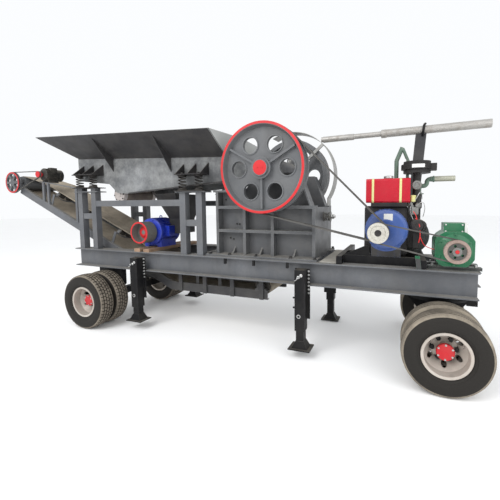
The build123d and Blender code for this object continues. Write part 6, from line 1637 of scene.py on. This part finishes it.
@dataclass
class EngineSet:
    """Diesel engine: black block, blue gear case, red tank, air cleaner, pipes and fan guard.

    Attributes ending in _lines hold the radius of each pipe or wire and the places that it goes through, and
    those ending in _screws a ring's place across the plant, radius, count, start angle and size of head.
    """

    boxes: tuple[tuple[Triple, Triple, float], ...] = (
        ((1.800, -0.330, 1.281), (2.300, -0.020, 1.880), 0.03),
        ((2.290, -0.285, 1.400), (2.365, -0.065, 1.810), 0.006),
        ((2.360, -0.305, 1.370), (2.440, -0.045, 1.850), 0.008),
        ((2.345, -0.270, 1.845), (2.455, -0.110, 1.930), 0.016),
        ((1.880, -0.385, 1.872), (2.290, -0.195, 1.919), 0.006))
    fin_low: Triple = (2.300, -0.315, 1.385)
    fin_high: Triple = (2.304, -0.040, 1.825)
    fin_pitch: float = 0.013
    fins: int = 5
    stub_at: Triple = (2.425, -0.140, 1.92)
    stub: Profile = ((0.030, 0.0), (0.030, 0.101))
    intake_foot: float = 1.82
    intake_radius: float = 0.042
    cover_at: Triple = (2.405, -0.302, 1.649)
    side_cover: Profile = ((0.078, -0.020), (0.078, 0.054), (0.072, 0.060))
    disc_at: Triple = (2.405, -0.364, 1.650)
    side_disc: Profile = (
        (0.060, -0.004), (0.068, 0.000), (0.070, 0.014), (0.060, 0.022), (0.030, 0.024), (0.026, 0.018),
        (0.008, 0.018))
    case_screws: tuple[float, float, int, float, float] = (-0.3445, 0.242, 14, 0.1, 0.020)
    cover_screws: tuple[float, float, int, float, float] = (-0.457, 0.220, 12, 0.05, 0.016)
    plate_low: Triple = (2.037, -0.488, 1.709)
    plate_high: Triple = (2.137, -0.4775, 1.789)
    pulley_face: float = -0.703
    bore: Profile = (
        (0.030, -0.06), (0.0375, -0.05), (0.0375, -0.012), (0.034, -0.010), (0.020, -0.012), (0.006, -0.012))
    tank_y: Pair = (-0.400, -0.180)
    tank_z: Pair = (1.918, 2.205)
    strap_x: Pair = (1.903, 2.215)
    strap_width: float = 0.026
    strap_thick: float = 0.0022
    strap_corner: float = 0.032
    filler_x: float = 2.075
    filler_rise: float = 0.032
    filler: Profile = (
        (0.052, -0.026), (0.056, -0.024), (0.056, -0.004), (0.050, 0.002), (0.030, 0.006), (0.010, 0.008))
    cleaner: Triple = (2.390, -0.250, 2.262)
    rib_low: Triple = (0.169, -0.003, 0.043)
    rib_high: Triple = (0.176, 0.003, 0.100)
    label: Profile = ((0.1762, 0.052), (0.1770, 0.053), (0.1770, 0.092), (0.1762, 0.093))
    label_angles: Pair = (-1.95, -1.15)
    nut_rise: float = 0.136
    cleaner_nut: Profile = ((0.026, 0.0), (0.026, 0.008), (0.014, 0.014), (0.012, 0.024), (0.005, 0.026))
    pump_box: tuple[Triple, Triple] = ((2.335, -0.372, 1.775), (2.415, -0.300, 1.868))
    cap_at: Triple = (2.395, -0.345, 1.862)
    cap_lean: float = 0.6
    pump_cap: Profile = ((0.026, 0.0), (0.032, 0.006), (0.032, 0.040), (0.022, 0.052), (0.010, 0.056))
    union_at: Triple = (2.350, -0.350, 1.862)
    union_lean: float = -0.4
    pump_union: Profile = ((0.018, 0.0), (0.020, 0.004), (0.020, 0.060), (0.012, 0.066))
    bowl_at: Triple = (2.352, -0.338, 1.925)
    bowl: Profile = (
        (0.020, 0.0), (0.028, 0.006), (0.030, 0.018), (0.030, 0.060), (0.034, 0.064), (0.034, 0.076),
        (0.016, 0.080))
    intake_at: Triple = (2.390, -0.300, 2.120)
    intake: Profile = (
        (0.044, -0.010), (0.052, -0.006), (0.053, 0.000), (0.053, 0.062), (0.047, 0.070), (0.030, 0.072),
        (0.026, 0.066), (0.008, 0.066))
    sleeve_length: float = 0.2415
    silencer_yz: Pair = (-0.140, 2.200)
    sleeve: Profile = (
        (0.0275, 0.0), (0.0318, 0.004), (0.0325, 0.010), (0.0325, 0.236), (0.0318, 0.2405), (0.0315, 0.2405),
        (0.0275, 0.2405))
    clamp: Profile = ((0.0325, 0.0), (0.0375, 0.001), (0.0375, 0.017), (0.0325, 0.018))
    flange_at: Triple = (2.425, -0.140, 2.020)
    flange: Profile = ((0.030, 0.0), (0.052, 0.0), (0.054, 0.003), (0.054, 0.011), (0.030, 0.014))
    fan_rise: float = 0.240
    fan_hub: float = 0.040
    fan_radius: float = 0.236
    fan_pitch: float = 0.024
    fan_rings: int = 9
    fan_spokes: int = 24
    fuel_lines: tuple[tuple[float, tuple[Triple, ...]], ...] = (
        (0.0042, ((2.36, -0.35, 1.92), (2.40, -0.365, 1.99), (2.43, -0.35, 2.05), (2.45, -0.30, 2.02),
                  (2.455, -0.25, 1.96))),
        (0.004, ((2.41, -0.35, 1.90), (2.46, -0.37, 1.94), (2.485, -0.345, 1.86), (2.478, -0.31, 1.80),
                 (2.468, -0.29, 1.75))),
        (0.004, ((2.345, -0.35, 1.90), (2.318, -0.372, 1.86), (2.33, -0.368, 1.78), (2.36, -0.355, 1.72))))
    red_lines: tuple[tuple[float, tuple[Triple, ...]], ...] = (
        (0.0055, ((2.385, -0.352, 1.735), (2.425, -0.385, 1.69), (2.435, -0.38, 1.60), (2.44, -0.37, 1.52),
                  (2.425, -0.36, 1.45))),
        (0.0045, ((2.44, -0.37, 1.52), (2.46, -0.38, 1.46), (2.50, -0.38, 1.405), (2.585, -0.41, 1.385))),
        (0.004, ((2.34, -0.35, 1.84), (2.37, -0.385, 1.80), (2.40, -0.38, 1.745), (2.405, -0.36, 1.68))))
    hose_lines: tuple[tuple[float, tuple[Triple, ...]], ...] = (
        (0.009, ((2.42, -0.36, 1.72), (2.49, -0.39, 1.70), (2.50, -0.385, 1.62), (2.47, -0.37, 1.58),
                 (2.44, -0.36, 1.57))),
        (0.007, ((2.33, -0.35, 1.90), (2.30, -0.40, 1.88), (2.31, -0.39, 1.80), (2.34, -0.355, 1.745))))

    def build(self) -> None:
        """Dress the engine set."""
        coat_nodes(BLACK, "engine_skid")
        coat_nodes(GEARCASE_BLUE, "engine_gearcase")
        coat_nodes(TANK_RED, "fuel_tank")
        coat_nodes(CLEANER_BLACK, "air_cleaner")
        coat_nodes(PIPE_GREEN, "exhaust_pipes")
        coat_nodes(MESH_GREY, "fan_guard")
        coat_nodes(PULLEY_PALE, "engine_pulley")
        self.castings()
        self.tank_fittings()
        self.gear_fittings()
        self.cleaner_fittings()
        self.pump()
        self.silencer()
        self.fan_mesh()
        for name, lines, finish in (("fuel_pipes", self.fuel_lines, SILVER),
                                    ("red_wires", self.red_lines, WIRE_RED),
                                    ("dark_hoses", self.hose_lines, WIRE_BLACK)):
            rods = [bent_rod("line", [place(*point) for point in points], radius) for radius, points in lines]
            fit(join(name, *rods), Body.ROOT, Slot.ENGINE, finish)

    def castings(self) -> None:
        """Crankcase, finned cylinder, head with its rocker cover, intake pipe and exhaust stub."""
        x, y, top = self.cleaner
        pieces = [block("casting", place(*low), place(*high), edge) for low, high, edge in self.boxes]
        intake = [(self.intake_radius, 0.0), (self.intake_radius, top - self.intake_foot)]
        for rings, sides, where in ((intake, 24, spot(place(x, y, self.intake_foot))),
                                    (self.stub, 20, spot(place(*self.stub_at))),
                                    (self.side_cover, 30, spot(place(*self.cover_at), Facing.NEAR))):
            pieces.append(settle(turned("casting", rings, sides), where))
        for index in range(self.fins):
            step = Vector((self.fin_pitch * index, 0.0, 0.0))
            pieces.append(block("fin", place(*self.fin_low) + step, place(*self.fin_high) + step, 0.0))
        fit(join("engine_castings", *pieces), Body.ROOT, Slot.ENGINE, ENGINE_BLACK, "engine_block")
        fit_round("side_disc", self.side_disc, 32, spot(place(*self.disc_at), Facing.NEAR), Body.ROOT, Slot.ENGINE,
                  ENGINE_BLACK)

    def tank_fittings(self) -> None:
        """Two straps round the tank and its filler cap."""
        (y0, y1), (z0, z1), thick = self.tank_y, self.tank_z, self.strap_thick
        stand = Matrix(((0, 0, 1, 0), (1, 0, 0, 0), (0, 1, 0, 0), (0, 0, 0, 1)))
        outline = rounded(y0 - thick, y1 + thick, z0 - thick, z1 + thick, self.strap_corner)
        straps = [settle(plate("strap", outline, self.strap_width, 0.0),
                         spot(place(x - self.strap_width / 2, 0, 0)) @ stand) for x in self.strap_x]
        fit(join("tank_straps", *straps), Body.ROOT, Slot.TANK, STRAP_YELLOW)
        where = spot(place(self.filler_x, (y0 + y1) / 2, z1 + self.filler_rise))
        fit_round("filler_cap", self.filler, 28, where, Body.ROOT, Slot.TANK, SILVER)

    def gear_fittings(self) -> None:
        """Screws and a bare plate on the gear case, and the dark bore of its pulley."""
        x, z = GEAR_AXIS
        for name, row in (("case_screws", self.case_screws), ("cover_screws", self.cover_screws)):
            y, radius, count, start, size = row
            ring = circle_points(place(x, y, z), radius, count, start)
            fit(bolts(name, ring, size, Facing.NEAR), Body.ROOT, Slot.GEARCASE, GEARCASE_BLUE)
        bare = block("bare_plate", place(*self.plate_low), place(*self.plate_high), 0.002)
        fit(bare, Body.ROOT, Slot.GEARCASE, PLATE_PALE)
        face = spot(place(PULLEY_AXIS[0], self.pulley_face, PULLEY_AXIS[1]), Facing.NEAR)
        fit_round("pulley_bore", self.bore, 28, face, Body.ENGINE, Slot.ENGINE, ENGINE_BLACK)

    def cleaner_fittings(self) -> None:
        """Ribs round the air cleaner's pan, a bare pale label, its nut and the drum of its intake."""
        x, y, z = self.cleaner
        ribs = spread("cleaner_ribs", block("rib", self.rib_low, self.rib_high, 0.001), place(x, y, z), "Z", 40,
                      (-1, 27), (350, 361))
        fit(ribs, Body.ROOT, Slot.FILTER, CLEANER_BLACK)
        label = turned("cleaner_label", self.label, 72, loop=True)
        keep_sector(label, *self.label_angles)
        fit(settle(label, spot(place(x, y, z))), Body.ROOT, Slot.FILTER, PLATE_PALE)
        fit_round("cleaner_nut", self.cleaner_nut, 16, spot(place(x, y, z + self.nut_rise)), Body.ROOT,
                  Slot.FILTER, CLEANER_BLACK)
        fit_round("intake_drum", self.intake, 36, spot(place(*self.intake_at), Facing.NEAR), Body.ROOT,
                  Slot.EXHAUST, PULLEY_GREY)

    def pump(self) -> None:
        """Silver injection pump and filter bowl beside the tank."""
        parts = [block("body", place(*self.pump_box[0]), place(*self.pump_box[1]), 0.012)]
        for rings, sides, point, lean in ((self.pump_cap, 22, self.cap_at, self.cap_lean),
                                          (self.pump_union, 16, self.union_at, self.union_lean)):
            where = spot(place(*point)) @ Matrix.Rotation(lean, 4, "Y")
            parts.append(settle(turned("top", rings, sides), where))
        fit(smooth(join("injection_pump", *parts)), Body.ROOT, Slot.ENGINE, PULLEY_GREY)
        fit_round("filter_bowl", self.bowl, 26, spot(place(*self.bowl_at)), Body.ROOT, Slot.ENGINE, STRAP_YELLOW)

    def silencer(self) -> None:
        """The silencer's pale sleeve, clamp and flange."""
        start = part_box("exhaust_pipes")[1][0] - self.sleeve_length
        y, z = self.silencer_yz
        for name, rings, sides, where, finish in (
                ("silencer_sleeve", self.sleeve, 36, spot((start, y, z), Facing.RIGHT), SILENCER_METAL),
                ("silencer_clamp", self.clamp, 30, spot((start + 0.004, y, z), Facing.RIGHT), PIPE_GREEN),
                ("exhaust_flange", self.flange, 28, spot(place(*self.flange_at)), PIPE_GREEN)):
            fit_round(name, rings, sides, where, Body.ROOT, Slot.EXHAUST, finish, True)

    def fan_mesh(self) -> None:
        """Wire rings and spokes over both faces of the fan guard."""
        low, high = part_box("fan_guard")
        wires: list[Piece] = []
        for y in (low[1] - 0.002, high[1] + 0.002):
            centre = Vector(((low[0] + high[0]) / 2, y, high[2] - self.fan_rise))
            for index in range(self.fan_rings):
                ring = circle_points(centre, self.fan_hub + self.fan_pitch * index, 40)
                wires.append(bent_rod("ring", [*ring, ring[0]], 0.0022, 6, False))
            inner = circle_points(centre, self.fan_hub, self.fan_spokes)
            outer = circle_points(centre, self.fan_radius, self.fan_spokes)
            wires += [bent_rod("spoke", ends, 0.0018, 6, False) for ends in zip(inner, outer)]
        fit(join("fan_wires", *wires), Body.ROOT, Slot.MESH, MESH_GREY)


@dataclass
class GeneratorSet:
    """The green generator with its pale terminal plate and rosy pulley."""

    pulley_face: float = -0.703
    cap: Profile = ((0.016, -0.010), (0.020, -0.006), (0.020, 0.002), (0.017, 0.006), (0.006, 0.007))
    hub: Profile = ((0.018, -0.012), (0.044, -0.011), (0.046, -0.007), (0.045, -0.002), (0.018, -0.002))
    plate_low: Triple = (2.870, -0.482, 1.523)
    plate_high: Triple = (2.903, -0.227, 1.6905)
    screw_x: Pair = (2.689, 2.851)
    screw_y: float = -0.470
    screw_z: Pair = (1.60, 1.672)
    bell_y: float = -0.539
    bell_circle: float = 0.165
    foot_x: Pair = (2.564, 2.994)
    foot_y: Pair = (-0.450, -0.240)
    foot: float = 0.034

    def build(self) -> None:
        """Dress the generator."""
        coat_nodes(GENERATOR_GREEN, "generator")
        coat_nodes(ROSY_STEEL, "generator_pulley")
        x, z = GENERATOR_AXIS
        face = spot(place(x, self.pulley_face, z), Facing.NEAR)
        fit_round("generator_cap", self.cap, 28, face, Body.GENERATOR, Slot.PULLEY, SIGNAL_RED)
        fit_round("generator_hub", self.hub, 36, face, Body.GENERATOR, Slot.PULLEY, PULLEY_GREY, True)
        plate_box = block("terminal_plate", place(*self.plate_low), place(*self.plate_high), 0.003)
        fit(plate_box, Body.ROOT, Slot.GENERATOR, PLATE_PALE)
        heads = [place(along, self.screw_y, height) for along in self.screw_x for height in self.screw_z]
        ring = circle_points(place(x, self.bell_y, z), self.bell_circle, 6, 0.5)
        feet = [place(along, across, RAIL_TOP + self.foot) for along in self.foot_x for across in self.foot_y]
        for name, points, size, facing, finish in (
                ("terminal_screws", heads, 0.014, Facing.NEAR, PLATE_PALE),
                ("generator_screws", ring, 0.020, Facing.NEAR, GENERATOR_GREEN),
                ("rail_bolts", feet, 0.030, Facing.UP, SILVER)):
            fit(bolts(name, points, size, facing), Body.ROOT, Slot.GENERATOR, finish)


@dataclass
class Overhead:
    """The overhead pole, its post, the sockets of its sections and the post's hook."""

    pole_y: float = 0.560
    pole_half: float = 0.038
    slope: float = 0.040 / 2.287
    collar_share: float = 0.402
    sleeve_share: float = 0.012
    collar: Profile = (
        (0.050, -0.020), (0.058, -0.018), (0.060, 0.0), (0.0605, 0.050), (0.057, 0.056), (0.050, 0.058))
    sleeve: Profile = (
        (0.0375, 0.0), (0.044, 0.002), (0.046, 0.010), (0.046, 0.470), (0.044, 0.478), (0.0375, 0.480))
    hook: tuple[Triple, ...] = (
        (-0.050, -0.030, -0.030), (-0.045, -0.068, 0.02), (-0.040, -0.066, 0.090), (-0.030, -0.050, 0.125),
        (-0.018, -0.010, 0.138))

    def build(self) -> None:
        """Dress the pole and the post."""
        coat_nodes(POLE_METAL, "overhead_pole")
        coat_nodes(POST_DARK, "pole_post")
        low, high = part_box("overhead_pole")
        turn = Matrix.Rotation(-self.slope, 4, "Y") @ Facing.RIGHT.turn()
        for name, rings, share in (("collar", self.collar, self.collar_share),
                                   ("pole_sleeve", self.sleeve, self.sleeve_share)):
            run = (high[0] - low[0]) * share
            at = Vector((low[0] + run, self.pole_y, low[2] + self.pole_half + self.slope * run))
            fit_round(name, rings, 36, Matrix.Translation(at) @ turn, Body.ROOT, Slot.POLE, POLE_METAL, True)
        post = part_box("pole_post")[1]
        points = [(post[0] + x, self.pole_y + y, post[2] + z) for x, y, z in self.hook]
        fit(bent_rod("post_hook", points, 0.017), Body.ROOT, Slot.ENGINE, BLACK)


# ---- Studio


@dataclass
class Studio:
    """A pale floor, soft light and the camera at the photograph's place.

    Attributes:
        camera_at: Where the camera stands.
        lens: Its focal length in millimetres.
        shift: Shift of its picture, as shares of the picture.
        yaw: Degrees by which it looks to the left of +Y.
        pitch: Degrees by which it looks down.
        roll: Its lean in radians.
        lamps: Name, place, aim, power and size of each lamp.
    """

    camera_at: Triple = (3.0826, -4.1897, 1.886)
    lens: float = 21.83
    shift: Pair = (-0.0750, -0.0422)
    yaw: float = 20.3
    pitch: float = 4.35
    roll: float = 0.0043
    lamps: tuple[tuple[str, Triple, Triple, float, float], ...] = (
        ("key", (-1.5, -7.5, 7.5), (0.6, 0.0, 1.4), 620.0, 6.0),
        ("fill", (7.0, -4.0, 4.0), (1.2, 0.0, 1.2), 160.0, 5.0))

    def build(self) -> None:
        """Make the studio."""
        bpy.context.scene.view_settings.view_transform = "Standard"
        self.floor()
        self.lights()
        self.camera()

    def floor(self) -> None:
        """A wide pale floor."""
        clear()
        bpy.ops.mesh.primitive_circle_add(vertices=96, radius=60.0, fill_type="NGON", location=(0, 0, 0))
        floor = bpy.context.object
        floor.name = "studio_floor"
        sheet = Graph("studio_floor_finish")
        cloud = sheet.remap(sheet.noise(0.6, 3.0), 0.3, 0.7)
        sheet.feed(sheet.shader.inputs["Base Color"], sheet.blend(cloud, (0.945, 0.945, 0.945), (0.96, 0.96, 0.96)))
        sheet.setting("Roughness", 0.85)
        floor.data.materials.append(sheet.material)

    def lights(self) -> None:
        """An even sky and the large soft lamps."""
        world = bpy.data.worlds.new("studio_sky")
        bpy.context.scene.world = world
        world.use_nodes = True
        sky = world.node_tree.nodes["Background"]
        sky.inputs["Color"].default_value = (0.97, 0.985, 1.0, 1.0)
        sky.inputs["Strength"].default_value = 1.0
        for name, at, aim, power, size in self.lamps:
            data = bpy.data.lights.new(name, "AREA")
            data.energy = power
            data.size = size
            lamp = bpy.data.objects.new(name, data)
            lamp.location = at
            lamp.rotation_euler = (Vector(aim) - Vector(at)).to_track_quat("-Z", "Y").to_euler()
            bpy.context.collection.objects.link(lamp)

    def camera(self) -> None:
        """The camera, from the fitted place and angle."""
        data = bpy.data.cameras.new("camera")
        data.sensor_width = 36.0
        data.lens = self.lens
        data.shift_x, data.shift_y = self.shift
        data.clip_end = 300.0
        camera = bpy.data.objects.new("camera", data)
        camera.location = self.camera_at
        camera.rotation_euler = (math.radians(90.0 - self.pitch), self.roll, math.radians(self.yaw))
        bpy.context.collection.objects.link(camera)
        bpy.context.scene.camera = camera


def main() -> None:
    """Build each sub-assembly in order."""
    logging.basicConfig(level=logging.INFO, format="%(message)s")
    for assembly in (Chassis(), RoadWheels(), LandingLegs(), Crusher(), Flywheels(), Feeder(), Conveyor(),
                     DriveMotor(), EngineSet(), GeneratorSet(), Overhead(), Studio()):
        assembly.build()
        log.info("%s done", type(assembly).__name__)
    coat_nodes(V_BELT, "drive_belts")


if __name__ == "__main__":
    main()
